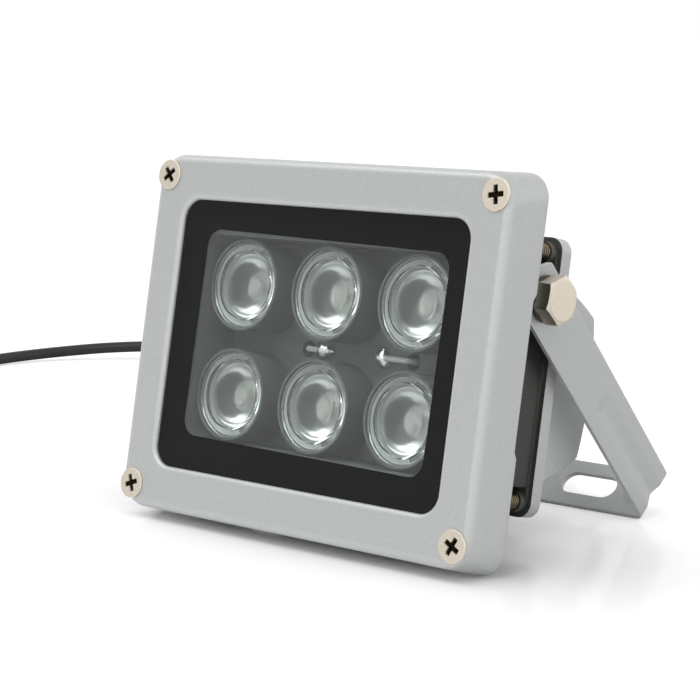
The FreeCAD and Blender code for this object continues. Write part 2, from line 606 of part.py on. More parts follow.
def driver_board():
    return plate(DRIVER_BOARD_WIDTH, DRIVER_BOARD_HEIGHT, DRIVER_BOARD_CORNER,
                 DRIVER_BOARD_FRONT, DRIVER_BOARD_FRONT + DRIVER_BOARD_THICK)


def driver_parts():
    """Coil and capacitor on the driver board's rear, chip on its front."""
    rear = DRIVER_BOARD_FRONT + DRIVER_BOARD_THICK
    x, z = DRIVER_COIL_PLACE
    coil = rod(DRIVER_COIL[0], Vector(x, rear, z), BACK, DRIVER_COIL[1])
    x, z = CAPACITOR_PLACE
    capacitor = rod(CAPACITOR[0], Vector(x, rear, z), BACK, CAPACITOR[1])
    chip = Part.makeBox(*CHIP)
    chip.translate(Vector(-CHIP[0] / 2, DRIVER_BOARD_FRONT - CHIP[1], -CHIP[2] / 2))
    return Part.makeCompound([coil, capacitor, chip])


def cross_recess(place, depth_from, turn):
    """Cutter of two crossed wedges that narrow with depth."""
    x, z = place
    cutter = None
    for extra in (0, 90):
        top = RECESS_LENGTH / 2
        low = top * RECESS_TAPER
        points = [Vector(-top, 0, 0), Vector(top, 0, 0), Vector(low, RECESS_DEPTH, 0),
                  Vector(-low, RECESS_DEPTH, 0)]
        wedge = Part.Face(Part.makePolygon(points + [points[0]])).extrude(UP * RECESS_WIDTH)
        wedge.translate(Vector(0, 0, -RECESS_WIDTH / 2))
        wedge.rotate(Vector(0, 0, 0), BACK, turn + extra)
        cutter = wedge if cutter is None else cutter.fuse(wedge)
    cutter.translate(Vector(x, depth_from, z))
    return cutter


def bezel_screw(place, turn):
    """M4 countersunk screw, its head a little proud, with a cross recess."""
    top = -SCREW_HEAD_PROUD
    tip = BEZEL_SCREW_LENGTH - SCREW_HEAD_PROUD
    profile = ((0, top), (SCREW_HEAD_RADIUS - SCREW_EDGE, top),
               (SCREW_HEAD_RADIUS, top + SCREW_EDGE), (SCREW_HEAD_RADIUS, 0),
               (THREAD_RADIUS, SCREW_CONE), (THREAD_RADIUS, tip - SCREW_EDGE),
               (THREAD_RADIUS - SCREW_EDGE, tip), (0, tip))
    return turned(profile, place).cut(cross_recess(place, -SCREW_HEAD_PROUD, turn))


def housing_screws():
    """Four M4 screws from the lamp body's front into the driver housing's flange."""
    screws = []
    top = HOUSING_SCREW_SEAT - HOUSING_HEAD_HIGH
    tip = HOUSING_SCREW_SEAT + HOUSING_SCREW_LENGTH
    profile = ((0, top), (HOUSING_HEAD_RADIUS - PAN_EDGE, top),
               (HOUSING_HEAD_RADIUS, top + PAN_EDGE), (HOUSING_HEAD_RADIUS, HOUSING_SCREW_SEAT),
               (THREAD_RADIUS, HOUSING_SCREW_SEAT), (THREAD_RADIUS, tip), (0, tip))
    for x, z in corner_places(HOUSING_SCREW_X, HOUSING_SCREW_Z):
        screws.append(turned(profile, (x, z)).cut(cross_recess((x, z), top, HOUSING_SCREW_TURN)))
    return Part.makeCompound(screws)


def pivot_bolt(side):
    """M6 hexagon bolt; side is 1 on the right and -1 on the left."""
    outward = RIGHT * side
    seat = Vector(side * BOLT_SEAT, PIVOT_Y, PIVOT_Z)
    head = hexagon(BOLT_HEAD_FLATS, seat, outward, BOLT_HEAD_HIGH, BOLT_TURN * side)
    face = BOLT_HEAD_FLATS / 2 - BOLT_BEVEL_FACE
    plain = BOLT_HEAD_HIGH - BOLT_BEVEL
    bevel = Part.makeCone(face + BOLT_BEVEL / math.tan(math.radians(BOLT_BEVEL_ANGLE)), face,
                          BOLT_BEVEL, seat + outward * plain, outward)
    head = head.common(bevel.fuse(rod(BOLT_HEAD_FLATS, seat, outward, plain)))
    shank = rod(BOLT_RADIUS, seat - outward * BOLT_LENGTH, outward, BOLT_LENGTH + 1)
    return head.fuse(shank).removeSplitter()


def spring_washer(side):
    """Split ring between the bolt's head and the leg."""
    outward = RIGHT * side
    base = Vector(side * BRACKET_HALF_WIDTH, PIVOT_Y, PIVOT_Z)
    ring = rod(WASHER_RADIUS, base, outward, WASHER_THICK)
    ring = ring.cut(rod(BOLT_RADIUS + HINGE_PLAY, base - outward, outward, WASHER_THICK + 2))
    split = Part.makeBox(WASHER_THICK + 2, WASHER_SPLIT, WASHER_RADIUS + 1)
    split.translate(Vector(-WASHER_THICK / 2 - 1, -WASHER_SPLIT / 2, 0))
    split.rotate(Vector(0, 0, 0), RIGHT, 20)
    split.translate(base + outward * (WASHER_THICK / 2))
    return ring.cut(split)


def strip_outline(half, reach, bend):
    """Open path of the folded strip's face, from one leg's end round to the other."""
    k = bend * (1 - math.sqrt(0.5))
    edges = []
    for side in (-1, 1):
        leg = Vector(side * half, reach - bend, 0)
        strap = Vector(side * (half - bend), reach, 0)
        middle = Vector(side * (half - k), reach - k, 0)
        end = Vector(side * half, -LEG_END, 0)
        if side < 0:
            edges.append(Part.makeLine(end, leg))
            edges.append(Part.Arc(leg, middle, strap).toShape())
            edges.append(Part.makeLine(strap, Vector(half - bend, reach, 0)))
        else:
            edges.append(Part.Arc(strap, middle, leg).toShape())
            edges.append(Part.makeLine(leg, end))
    return edges


def rib_form(half, reach, bend, out, wide, deep):
    """V-shaped rib round both bends, with cone-shaped ends on the legs and the strap.

    half, reach and bend place the face that the V is pressed into; out lifts its mouth
    past that face, wide is half its width there and deep its depth below it.
    """
    slope = wide / deep
    mouth = wide + out * slope
    form = None
    for side in (-1, 1):
        inward = -side
        leg_x = side * half
        section = [Vector(leg_x - inward * out, 0, -mouth), Vector(leg_x + inward * deep, 0, 0),
                   Vector(leg_x - inward * out, 0, mouth)]
        face = Part.Face(Part.makePolygon(section + [section[0]]))
        start = RIB_START + RIB_HALF_WIDTH
        leg = face.copy()
        leg.translate(Vector(0, start, 0))
        leg = leg.extrude(BACK * (reach - bend - start))
        corner = Vector(side * (half - bend), reach - bend, 0)
        curve = face.copy()
        curve.translate(Vector(0, reach - bend, 0))
        curve = curve.revolve(corner, UP * side, 90)
        strap_x = side * (SLOT_X + SLOT_LENGTH / 2 + RIB_SLOT_GAP + RIB_HALF_WIDTH)
        run = side * (half - bend) - strap_x
        pieces = [leg, curve]
        if run * side > 0:
            flat = [Vector(strap_x, reach + out, -mouth), Vector(strap_x, reach - deep, 0),
                    Vector(strap_x, reach + out, mouth)]
            flat = Part.Face(Part.makePolygon(flat + [flat[0]])).extrude(RIGHT * run)
            pieces.append(flat)
            tip = Vector(strap_x, reach, 0)
        else:
            tip = Vector(side * (half - bend), reach, 0)
        depth = deep + out
        pieces.append(Part.makeCone(mouth, 0, depth, Vector(leg_x - inward * out, start, 0),
                                    RIGHT * inward))
        pieces.append(Part.makeCone(mouth, 0, depth, tip + BACK * out, BACK * -1))
        for piece in pieces:
            form = piece if form is None else form.fuse(piece)
    return form


def bracket():
    """Folded strip with a pressed rib round each bend, in its own frame.

    The pivot axis is X through the origin, and Y runs down the legs to the strap.
    """
    outer = strip_outline(BRACKET_HALF_WIDTH, LEG_REACH, BEND_OUTER)
    inner = strip_outline(BRACKET_HALF_WIDTH - SHEET, LEG_REACH - SHEET, BEND_INNER)
    ends = []
    for side in (-1, 1):
        ends.append(Part.makeLine(Vector(side * BRACKET_HALF_WIDTH, -LEG_END, 0),
                                  Vector(side * (BRACKET_HALF_WIDTH - SHEET), -LEG_END, 0)))
    wire = Part.Wire(Part.__sortEdges__(outer + inner + ends))
    strip = Part.Face(wire).extrude(UP * LEG_END_WIDTH)
    strip.translate(UP * (-LEG_END_WIDTH / 2))
    strip = strip.common(side_view())
    bump = rib_form(BRACKET_HALF_WIDTH - SHEET, LEG_REACH - SHEET, BEND_INNER, SHEET / 2,
                    RIB_HALF_WIDTH, RIB_DEPTH)
    groove = rib_form(BRACKET_HALF_WIDTH, LEG_REACH, BEND_OUTER, RIB_CUTTER_LIFT, RIB_HALF_WIDTH,
                      RIB_DEPTH)
    hull = Part.Wire(outer + [Part.makeLine(Vector(-BRACKET_HALF_WIDTH, -LEG_END, 0),
                                            Vector(BRACKET_HALF_WIDTH, -LEG_END, 0))])
    hull = Part.Face(hull).extrude(UP * STRAP_WIDTH)
    hull.translate(UP * (-STRAP_WIDTH / 2))
    strip = strip.fuse(bump.common(hull)).cut(groove)
    pivot = rod(BOLT_RADIUS + HINGE_PLAY, Vector(-BRACKET_HALF_WIDTH - 1, 0, 0), RIGHT,
                2 * BRACKET_HALF_WIDTH + 2)
    strip = strip.cut(pivot)
    for x in (-SLOT_X, SLOT_X):
        strip = strip.cut(slot(x))
    strip = strip.cut(rod(STRAP_HOLE_RADIUS, Vector(0, LEG_REACH - SHEET - 2, 0), BACK, SHEET + 4))
    return strip.removeSplitter()


def side_view():
    """Leg seen from the side: narrowing to the strap, with cut corners at its end."""
    flat = LEG_END_FLAT / 2
    end = LEG_END_WIDTH / 2
    strap = STRAP_WIDTH / 2
    reach = LEG_REACH + 1
    points = [Vector(0, -LEG_END, -flat), Vector(0, -LEG_END, flat),
              Vector(0, -LEG_END + LEG_END_CUT, end), Vector(0, reach, strap),
              Vector(0, reach, -strap), Vector(0, -LEG_END + LEG_END_CUT, -end)]
    face = Part.Face(Part.makePolygon(points + [points[0]]))
    side = face.extrude(RIGHT * (2 * BRACKET_HALF_WIDTH + 2))
    side.translate(Vector(-BRACKET_HALF_WIDTH - 1, 0, 0))
    return side


def slot(x):
    """Cutter of one mounting slot through the strap."""
    depth = SHEET + 4
    y = LEG_REACH - SHEET - 2
    straight = SLOT_LENGTH - SLOT_WIDTH
    box = Part.makeBox(straight, depth, SLOT_WIDTH, Vector(x - straight / 2, y, -SLOT_WIDTH / 2))
    cutter = box
    for end in (-1, 1):
        cutter = cutter.fuse(rod(SLOT_WIDTH / 2, Vector(x + end * straight / 2, y, 0), BACK, depth))
    return cutter


def gland_body():
    hexa = hexagon(GLAND_FLATS, Vector(0, GLAND_FACE, GLAND_Z), BACK, GLAND_HEX_HIGH, 0)
    thread = rod(GLAND_THREAD_RADIUS, Vector(0, GLAND_FACE - DOME_WALL - LOCKNUT_HIGH - 1, GLAND_Z),
                 BACK, DOME_WALL + LOCKNUT_HIGH + 2)
    body = hexa.fuse(thread)
    bore = rod(CORD_RADIUS + THREAD_PLAY, Vector(0, 0, GLAND_Z), BACK, GLAND_MOUTH)
    return body.cut(bore)


def gland_nut():
    """Domed clamping nut with flats, open at its mouth."""
    start = GLAND_NUT_START
    shoulder, bend = GLAND_NUT_SHOULDER
    grip = hexagon(GLAND_FLATS - 1, Vector(0, start, GLAND_Z), BACK,
                   GLAND_NUT_LENGTH * GLAND_NUT_GRIP, 0)
    profile = ((0, start), (GLAND_NUT_RADIUS, start), (GLAND_NUT_RADIUS, start + shoulder),
               (GLAND_NUT_RADIUS - GLAND_NUT_BEVEL, start + bend), (GLAND_NUT_MOUTH, GLAND_MOUTH),
               (0, GLAND_MOUTH))
    nut = grip.common(rod(GLAND_NUT_RADIUS + GLAND_NUT_GRIP_PROUD, Vector(0, start, GLAND_Z),
                          BACK, GLAND_NUT_LENGTH))
    nut = nut.fuse(turned(profile, (0, GLAND_Z)))
    return nut.cut(rod(GLAND_BORE, Vector(0, start - 1, GLAND_Z), BACK, GLAND_NUT_LENGTH + 2))


def gland_seal():
    seal = rod(GLAND_BORE, Vector(0, GLAND_NUT_START, GLAND_Z), BACK, GLAND_NUT_LENGTH)
    return seal.cut(rod(CORD_RADIUS + THREAD_PLAY, Vector(0, 0, GLAND_Z), BACK, GLAND_MOUTH + 1))


def gland_locknut():
    start = DOME_REAR - DOME_WALL - LOCKNUT_HIGH
    nut = hexagon(LOCKNUT_FLATS, Vector(0, start, GLAND_Z), BACK, LOCKNUT_HIGH, 0)
    return nut.cut(rod(GLAND_THREAD_RADIUS + THREAD_PLAY, Vector(0, start - 1, GLAND_Z), BACK,
                       LOCKNUT_HIGH + 2))


def cord_tail():
    """The lead's jacket through the gland into the housing."""
    start = DOME_REAR - TAIL_INSIDE
    return rod(CORD_RADIUS, Vector(0, start, GLAND_Z), BACK, GLAND_MOUTH - start)


def tube(points, radius):
    """Round tube along straight runs joined by tangent arcs, and its length."""
    edges = []
    radii = []
    here = points[0]
    for index in range(1, len(points) - 1):
        before = points[index] - points[index - 1]
        after = points[index + 1] - points[index]
        turn = before.getAngle(after)
        cut = 0.45 * min(before.Length, after.Length)
        radii.append(cut / math.tan(turn / 2))
        start = points[index] - before.normalize() * cut
        end = points[index] + after.normalize() * cut
        inside = ((start + end) * 0.5 - points[index]).normalize()
        depth = radii[-1] / math.cos(turn / 2) - radii[-1]
        edges.append(Part.makeLine(here, start))
        edges.append(Part.Arc(start, points[index] + inside * depth, end).toShape())
        here = end
    edges.append(Part.makeLine(here, points[-1]))
    path = Part.Wire(edges)
    section = Part.Wire(Part.makeCircle(radius, points[0], points[1] - points[0]))
    solid = path.makePipeShell([section], True, False)
    ratio = solid.Volume / (math.pi * radius ** 2 * path.Length)
    print("lead: length %.0f, volume ratio %.4f, radii %s"
          % (path.Length, ratio, [round(radius) for radius in radii]))
    return solid


def cord_coil():
    """Outer shape of the wound part of the lead, lying on the floor."""
    half = CORD_RADIUS * COIL_COLUMNS
    high = 2 * CORD_RADIUS * COIL_LAYERS
    ring = rod(COIL_MIDDLE_RADIUS + half, Vector(COIL_X, COIL_Y, 0), UP, high)
    start, along = plug_axis()
    end = rod(CORD_RADIUS, start - along * PLUG_LEAD, along, PLUG_LEAD)
    ring = ring.fuse(end)
    return ring.cut(rod(COIL_MIDDLE_RADIUS - half, Vector(COIL_X, COIL_Y, -1), UP, high + 2))


def plug_axis():
    """Start and direction of the plug, which leaves the coil's outer turn."""
    radius = COIL_MIDDLE_RADIUS + CORD_RADIUS
    return Vector(COIL_X - PLUG_LEAD, COIL_Y - radius, PLUG_RADIUS), Vector(-1, 0, 0)


def plug_body():
    """Moulded relief cone and grip of the plug."""
    start, along = plug_axis()
    relief = Part.makeCone(CORD_RADIUS + PLUG_RELIEF_WALL, PLUG_RADIUS - PLUG_SHOULDER,
                           PLUG_RELIEF, start, along)
    grip = rod(PLUG_RADIUS, start + along * PLUG_RELIEF, along, PLUG_LENGTH)
    rings = [edge for edge in grip.Edges if edge.BoundBox.XLength < 0.01]
    return relief.fuse(grip.makeChamfer(PLUG_BEVEL, rings))


def plug_barrel():
    start, along = plug_axis()
    base = start + along * (PLUG_RELIEF + PLUG_LENGTH)
    barrel = rod(BARREL_RADIUS, base, along, BARREL_LENGTH)
    return barrel.cut(rod(BARREL_BORE, base + along, along, BARREL_LENGTH))


def head_pieces():
    pieces = {
        "front_bezel": front_bezel(),
        "front_glass": front_glass(),
        "glass_seal": glass_seal(),
        "lamp_body": lamp_body(),
        "led_board": led_board(),
        "solder_joints": solder_joints(),
        "led_leads": led_leads(),
        "body_seal": body_seal(),
        "driver_housing": driver_housing(),
        "driver_board": driver_board(),
        "driver_parts": driver_parts(),
        "housing_screws": housing_screws(),
        "gland_body": gland_body(),
        "gland_nut": gland_nut(),
        "gland_seal": gland_seal(),
        "gland_locknut": gland_locknut(),
        "cord_tail": cord_tail(),
    }
    for number, place in enumerate(led_places(), 1):
        pieces["led_%d" % number] = led(place)
        pieces["lens_%d" % number] = lens(place)
        pieces["lens_holder_%d" % number] = lens_holder(place)
    places = corner_places(BEZEL_SCREW_X, BEZEL_SCREW_Z)
    for number, (place, turn) in enumerate(zip(places, BEZEL_SCREW_TURNS), 1):
        pieces["bezel_screw_%d" % number] = bezel_screw(place, turn)
    for name, side in (("left", -1), ("right", 1)):
        pieces["pivot_bolt_" + name] = pivot_bolt(side)
        pieces["spring_washer_" + name] = spring_washer(side)
    return pieces


def placed(shape, placement):
    moved = shape.copy()
    moved.Placement = placement.multiply(moved.Placement)
    return moved


def stand(pieces):
    """Lean the head back, set it on the floor and swing the bracket down to the floor."""
    lean = Placement(Vector(0, 0, 0), Rotation(RIGHT, -LEAN))
    leaned = placed(pieces["front_bezel"], lean)
    lift = -leaned.BoundBox.ZMin
    pivot = lean.multVec(Vector(0, PIVOT_Y, PIVOT_Z)) + UP * lift
    corner = math.atan2(STRAP_WIDTH / 2, LEG_REACH)
    drop = math.degrees(math.asin(pivot.z / math.hypot(LEG_REACH, STRAP_WIDTH / 2)) - corner)
    standing = {}
    for name, shape in pieces.items():
        standing[name] = placed(shape, Placement(UP * lift, Rotation(RIGHT, -LEAN)))
    standing["bracket"] = placed(bracket(), Placement(pivot, Rotation(RIGHT, -drop)))
    low = min(shape.BoundBox.YMin for shape in standing.values())
    high = max(shape.BoundBox.YMax for shape in standing.values())
    shift = Vector(0, -(low + high) / 2, 0)
    for shape in standing.values():
        shape.translate(shift)
    head = Placement(UP * lift + shift, Rotation(RIGHT, -LEAN))
    print("pivot %.3f %.3f, bracket %.2f degrees below level, lift %.3f, shift %.3f"
          % (pivot.y + shift.y, pivot.z, drop, lift, shift.y))
    return standing, head


def lead(head):
    """The free lead: straight out of the gland, down to the floor and into its coil."""
    mouth = head.multVec(Vector(0, GLAND_MOUTH, GLAND_Z))
    out = head.Rotation.multVec(BACK)
    points = [mouth, mouth + out * CORD_RUN_OUT]
    points += [Vector(*point) for point in CORD_ROUTE]
    print("gland mouth %.2f %.2f %.2f, first point %.2f %.2f %.2f"
          % (*mouth, *points[1]))
    return tube(points, CORD_RADIUS)


def main():
    os.makedirs("parts", exist_ok=True)
    pieces, head = stand(head_pieces())
    pieces["cord"] = lead(head)
    pieces["cord_coil"] = cord_coil()
    pieces["plug_body"] = plug_body()
    pieces["plug_barrel"] = plug_barrel()
    for name, shape in pieces.items():
        shape.exportStep("parts/%s.step" % name)
    print(len(pieces), "pieces")


main()
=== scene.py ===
# %% [markdown]
# A small LED floodlight stands on the rear rim of its bezel and on its bracket. The solids
# have the right sizes and places already, so this lesson gives them their looks: a finish for
# each surface, softer edges where the light catches them, and the lead on the floor. The first
# cell loads the solids as a fixed frame and keeps their box.

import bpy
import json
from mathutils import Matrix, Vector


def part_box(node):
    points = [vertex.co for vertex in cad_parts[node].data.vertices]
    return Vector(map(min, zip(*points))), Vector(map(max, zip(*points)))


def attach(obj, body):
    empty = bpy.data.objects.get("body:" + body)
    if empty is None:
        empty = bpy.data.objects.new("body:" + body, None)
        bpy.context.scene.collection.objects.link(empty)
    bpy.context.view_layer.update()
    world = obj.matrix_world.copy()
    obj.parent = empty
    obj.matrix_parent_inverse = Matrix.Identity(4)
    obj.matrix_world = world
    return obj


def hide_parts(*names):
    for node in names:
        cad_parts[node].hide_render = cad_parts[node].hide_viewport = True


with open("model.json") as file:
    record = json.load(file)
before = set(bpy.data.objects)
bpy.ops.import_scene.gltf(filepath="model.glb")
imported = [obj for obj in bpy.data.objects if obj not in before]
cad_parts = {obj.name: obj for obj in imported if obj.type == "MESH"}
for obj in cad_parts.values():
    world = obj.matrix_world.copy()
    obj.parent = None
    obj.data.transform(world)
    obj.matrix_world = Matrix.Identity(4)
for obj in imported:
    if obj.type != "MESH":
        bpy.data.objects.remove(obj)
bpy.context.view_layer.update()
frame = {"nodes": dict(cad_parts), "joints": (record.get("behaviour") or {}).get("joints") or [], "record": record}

import json
import math

import bpy
import numpy as np

nodes = frame["nodes"]
MM = 0.001

# %% [markdown]
# The lamp's head leans back, but its pieces are easier to describe upright, as on a drawing:
# X across, Y from the bezel's front face to the rear, Z up, in millimetres. One function turns
# such points to the frame. The pivot is the point that both know, so it anchors the change.

# %% From the head's drawing to the frame
LEAN = math.radians(10.58)
PIVOT_ON_DRAWING = np.array((0.0, 30.2, 17.7))
pivot = np.array(frame["joints"][0]["pos_m"])
LEANED = np.array(((1, 0, 0),
                   (0, math.cos(LEAN), math.sin(LEAN)),
                   (0, -math.sin(LEAN), math.cos(LEAN))))


def to_frame(points):
    """Turn drawing points by the lean about the pivot and move them to its place, in metres."""
    return (np.asarray(points, float) - PIVOT_ON_DRAWING) @ LEANED.T * MM + pivot


def to_drawing(points):
    """The way back, from frame points in metres to drawing points in millimetres."""
    return (np.asarray(points, float) - pivot) / MM @ LEANED + PIVOT_ON_DRAWING


print("pivot", pivot.round(4), "the front faces", (LEANED @ (0, -1, 0)).round(3))

# %% [markdown]
# Two helpers serve every finish. Colours are written as hex, as a paint chart gives them, and
# one function turns them to the linear values that the renderer works in. The other adds a
# shader node with its settings and links, so that a material reads like a short recipe.

# %% Colour and node helpers


def linear(code, alpha=1.0):
    """sRGB hex to linear: c / 12.92 below 0.04045, else ((c + 0.055) / 1.055) to the power 2.4."""
    c = np.array([int(code[i:i + 2], 16) for i in (1, 3, 5)]) / 255
    c = np.where(c <= 0.04045, c / 12.92, ((c + 0.055) / 1.055) ** 2.4)
    return (*c.tolist(), alpha)


def add(tree, kind, links=None, **settings):
    """Add a node of the kind. Settings are its properties. Links are its inputs, each a socket,
    a node that stands for its first output, a colour in hex, or a plain value."""
    node = tree.nodes.new("ShaderNode" + kind)
    for name, value in settings.items():
        setattr(node, name, value)
    for name, value in (links or {}).items():
        if isinstance(value, bpy.types.Node):
            value = value.outputs[0]
        if isinstance(value, bpy.types.NodeSocket):
            tree.links.new(value, node.inputs[name])
        else:
            node.inputs[name].default_value = linear(value) if isinstance(value, str) else value
    return node


def new_material(name):
    made = bpy.data.materials.new(name)
    made.use_nodes = True
    made.node_tree.nodes.clear()
    return made, made.node_tree


def finish(tree, shader):
    add(tree, "OutputMaterial", {"Surface": shader})


# %% [markdown]
# The camera comes first, because its view says where the lead has to lie. It looks from the
# lit side's right, from a little above the floor, through a long lens.

# %% Camera


def link(name, data):
    """A new object of the scene, at the origin unless it is placed."""
    made = bpy.data.objects.new(name, data)
    bpy.context.scene.collection.objects.link(made)
    return made


AZIMUTH = math.radians(42.6)
ELEVATION = math.radians(8.04)
CAMERA_FROM_PIVOT = (0.3465, -0.3938, 0.0584)
camera_data = bpy.data.cameras.new("camera")
camera_data.sensor_width, camera_data.lens = 36.0, 114.8
camera_data.clip_start, camera_data.clip_end = 0.01, 100.0
camera = link("camera", camera_data)
camera.location = pivot + CAMERA_FROM_PIVOT
camera.rotation_euler = (math.pi / 2 - ELEVATION, 0, AZIMUTH)
bpy.context.scene.camera = camera
bpy.context.scene.view_settings.view_transform = "Standard"

# %% [markdown]
# The lead is a thin round cable of about a metre. It leaves the gland straight, comes down to
# the floor in a long curve and runs to a coil outside the picture. One smooth spline follows
# the route's points and the coil's: three turns side by side on the floor, then outwards
# again on top of them.

# %% The lead's line
CORD_RADIUS = 1.9 * MM
CORD_MOUTH = (0.0, 0.03843, 0.03702)
CORD_ROUTE = (
    (0.0, 0.08168, 0.02895), (-0.033, 0.114, 0.018), (-0.080, 0.138, 0.0076),
    (-0.133, 0.152, 0.0036), (-0.184, 0.157, 0.0034), (-0.224, 0.149, 0.0050),
    (-0.251, 0.132, 0.0046), (-0.2695, 0.109, 0.0026), (-0.2732, 0.083, 0.0019),
)
COIL_CENTRE = (-0.299, 0.060)
COIL_RADIUS = 21.8 * MM
COIL_POINTS_A_TURN = 16
COIL_TURNS = 4.25
COIL_LIFT = 3.9 * MM
PLUG_START = (-0.3175, 0.0363, 0.0049)


def step(value, start, end):
    """Smooth step: 0 before start, 1 after end, 3t^2 - 2t^3 between."""
    t = np.clip((value - start) / (end - start), 0, 1)
    return t * t * (3 - 2 * t)


def coil_points():
    """Turns about the coil's centre. The radius starts one diameter outside the middle turn and
    drops by one in each of the first two turns. Then it grows by half a diameter where the lead
    climbs onto the lower turns, and by one more on top of them."""
    turn = np.arange(0.04, COIL_TURNS, 1 / COIL_POINTS_A_TURN)
    d = 2 * CORD_RADIUS
    radius = COIL_RADIUS + d * (1 - step(turn, 0.80, 0.95) - step(turn, 1.65, 1.80))
    radius = radius + d * (0.5 * step(turn, 2.50, 2.65) + step(turn, 3.35, 3.50))
    height = CORD_RADIUS + COIL_LIFT * step(turn, 2.50, 2.65)
    angle = -2 * math.pi * turn
    return np.stack([COIL_CENTRE[0] + radius * np.cos(angle),
                     COIL_CENTRE[1] + radius * np.sin(angle), height], 1)


cord_points = [CORD_MOUTH, *CORD_ROUTE, *coil_points().tolist(), PLUG_START]
cord_curve = bpy.data.curves.new("lead", "CURVE")
cord_curve.dimensions = "3D"
cord_spline = cord_curve.splines.new("NURBS")
cord_spline.points.add(len(cord_points) - 1)
for point, place in zip(cord_spline.points, cord_points):
    point.co = (*place, 1.0)
    point.radius = CORD_RADIUS  # the curve's box grows by this, so it isn't left at 1 metre
cord_spline.order_u = 3
cord_spline.use_endpoint_u = True
cord_spline.resolution_u = 12
cord_curve.bevel_depth = 1.0  # times each point's radius
cord_curve.bevel_resolution = 6
cord_curve.use_fill_caps = True
lead = link("lead", cord_curve)
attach(lead, "head")
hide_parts("cord", "cord_coil")
print(len(cord_points), "points on the lead's spline")

# %% [markdown]
# The lamp stands in a white studio. Soft light comes from the front and the sides and little
# from behind, so the bracket's back stays darker. Shiny surfaces mirror a white room, brighter
# overhead, with a dark patch where the window faces. The floor is a glossy white sheet that
# keeps the lamp's shadow, and a painted shade under the lamp deepens it.

# %% Room, light and floor
BACKDROP_LEVEL = 1.0
ROOM_LEVELS = (0.95, 0.30)  # from the front and from behind
ROOM_TURNS = (-0.1, 0.65)  # where along Y it turns from one to the other
MIRRORED_LEVEL = 1.15
CEILING_LEVELS = (0.9, 4.6)  # overhead, as mirrored and as seen through the glass
CEILING_STARTS = (0.45, 0.8)  # where along Z the wall ends and the ceiling is reached
DARK_LEVELS = (0.30, 1.1)  # the dark patch, in the same two ways
DARK_TOWARDS = (-0.68, -0.73, 0.10)
DARK_COSINES = (0.82, 0.96)  # of the angles to its edge and its core
world = bpy.data.worlds.new("white room")
bpy.context.scene.world = world
world.use_nodes = True
room = world.node_tree
room.nodes.clear()
look = add(room, "TexCoord").outputs["Generated"]
axes = add(room, "SeparateXYZ", {0: look})


def ramp(value, low, high, start, end):
    """World level that goes smoothly from start to end while the value goes from low to high."""
    return add(room, "MapRange",
               {"Value": value, "From Min": low, "From Max": high, "To Min": start, "To Max": end},
               interpolation_type="SMOOTHSTEP")


facing = add(room, "VectorMath", {0: look, 1: DARK_TOWARDS}, operation="DOT_PRODUCT")
ray = add(room, "LightPath")
patch, ceiling = [add(room, "Mix", {0: ray.outputs["Is Transmission Ray"],
                                    2: levels[0], 3: levels[1]})
                  for levels in (DARK_LEVELS, CEILING_LEVELS)]
mirrored = add(room, "Math",
               {0: ramp(facing.outputs["Value"], *DARK_COSINES, 1.0, patch),
                1: ramp(axes.outputs["Z"], *CEILING_STARTS, MIRRORED_LEVEL, ceiling)},
               operation="MULTIPLY")
through = add(room, "Math",
              {0: ray.outputs["Is Glossy Ray"], 1: ray.outputs["Is Transmission Ray"]},
              operation="MAXIMUM")
level = add(room, "Mix",
            {0: through,
             2: ramp(axes.outputs["Y"], *ROOM_TURNS, *ROOM_LEVELS),
             3: mirrored})
level = add(room, "Mix", {0: ray.outputs["Is Camera Ray"], 2: level, 3: BACKDROP_LEVEL})
glow = add(room, "Background", {"Color": "#FFFFFF", "Strength": level})
add(room, "OutputWorld", {"Surface": glow})

SOFTBOX_SIZE = 0.9
SOFTBOX_PLACE = (-0.10, -0.55, 0.80)
SOFTBOX_WATTS = 5.5
SOFTBOX_AIM = (0, 0, 0.04)
softbox = bpy.data.lights.new("softbox", "AREA")
softbox.shape = "SQUARE"
softbox.size, softbox.energy = SOFTBOX_SIZE, SOFTBOX_WATTS
hung = link("softbox", softbox)
hung.location = SOFTBOX_PLACE
aim = np.array(SOFTBOX_AIM) - SOFTBOX_PLACE
hung.rotation_euler = (math.atan2(math.hypot(aim[0], aim[1]), -aim[2]), 0,
                       math.atan2(aim[0], -aim[1]))

FLOOR_HALF = 40.0
FLOOR_DROP = 0.05 * MM  # so that no piece shares its plane
FLOOR_GLOSS = 0.10
GLOSS_ROUGH = 0.12
PAINTED_SHADE_SCALE = (0.6, 1.5, 0)  # the painted shade under the lamp is an ellipse along X
PAINTED_SHADE_SHIFT = (0, 0.045, 0)
PAINTED_SHADE_REACH = (0.02, 0.09)
LIFT = 0.38  # light for the camera only, which keeps the sheet white past the painted shade
floor_mesh = bpy.data.meshes.new("floor")
floor_mesh.from_pydata([(x * FLOOR_HALF, y * FLOOR_HALF, 0)
                        for x, y in ((-1, -1), (1, -1), (1, 1), (-1, 1))], [], [(0, 1, 2, 3)])
floor = link("floor", floor_mesh)
floor.location.z = -FLOOR_DROP
sheet, tree = new_material("glossy white acrylic sheet")
dull = add(tree, "BsdfDiffuse", {"Color": "#F4F4F4"})
shine = add(tree, "BsdfGlossy", {"Color": "#FFFFFF", "Roughness": GLOSS_ROUGH})
both = add(tree, "MixShader", {0: FLOOR_GLOSS, 1: dull, 2: shine})
seen = add(tree, "LightPath")
at = add(tree, "TexCoord").outputs["Object"]
# the lift is left out near the lamp, which paints a shade on the floor under it
under = add(tree, "VectorMath", {0: at, 1: PAINTED_SHADE_SCALE, 2: PAINTED_SHADE_SHIFT}, operation="MULTIPLY_ADD")
away = add(tree, "VectorMath", {0: under}, operation="LENGTH")
more = add(tree, "MapRange", {"Value": away.outputs["Value"], "From Min": PAINTED_SHADE_REACH[0],
                              "From Max": PAINTED_SHADE_REACH[1], "To Min": 0.0, "To Max": LIFT})
lift = add(tree, "Emission", {"Color": "#FFFFFF", "Strength": more})
lifted = add(tree, "AddShader", {0: both, 1: lift})
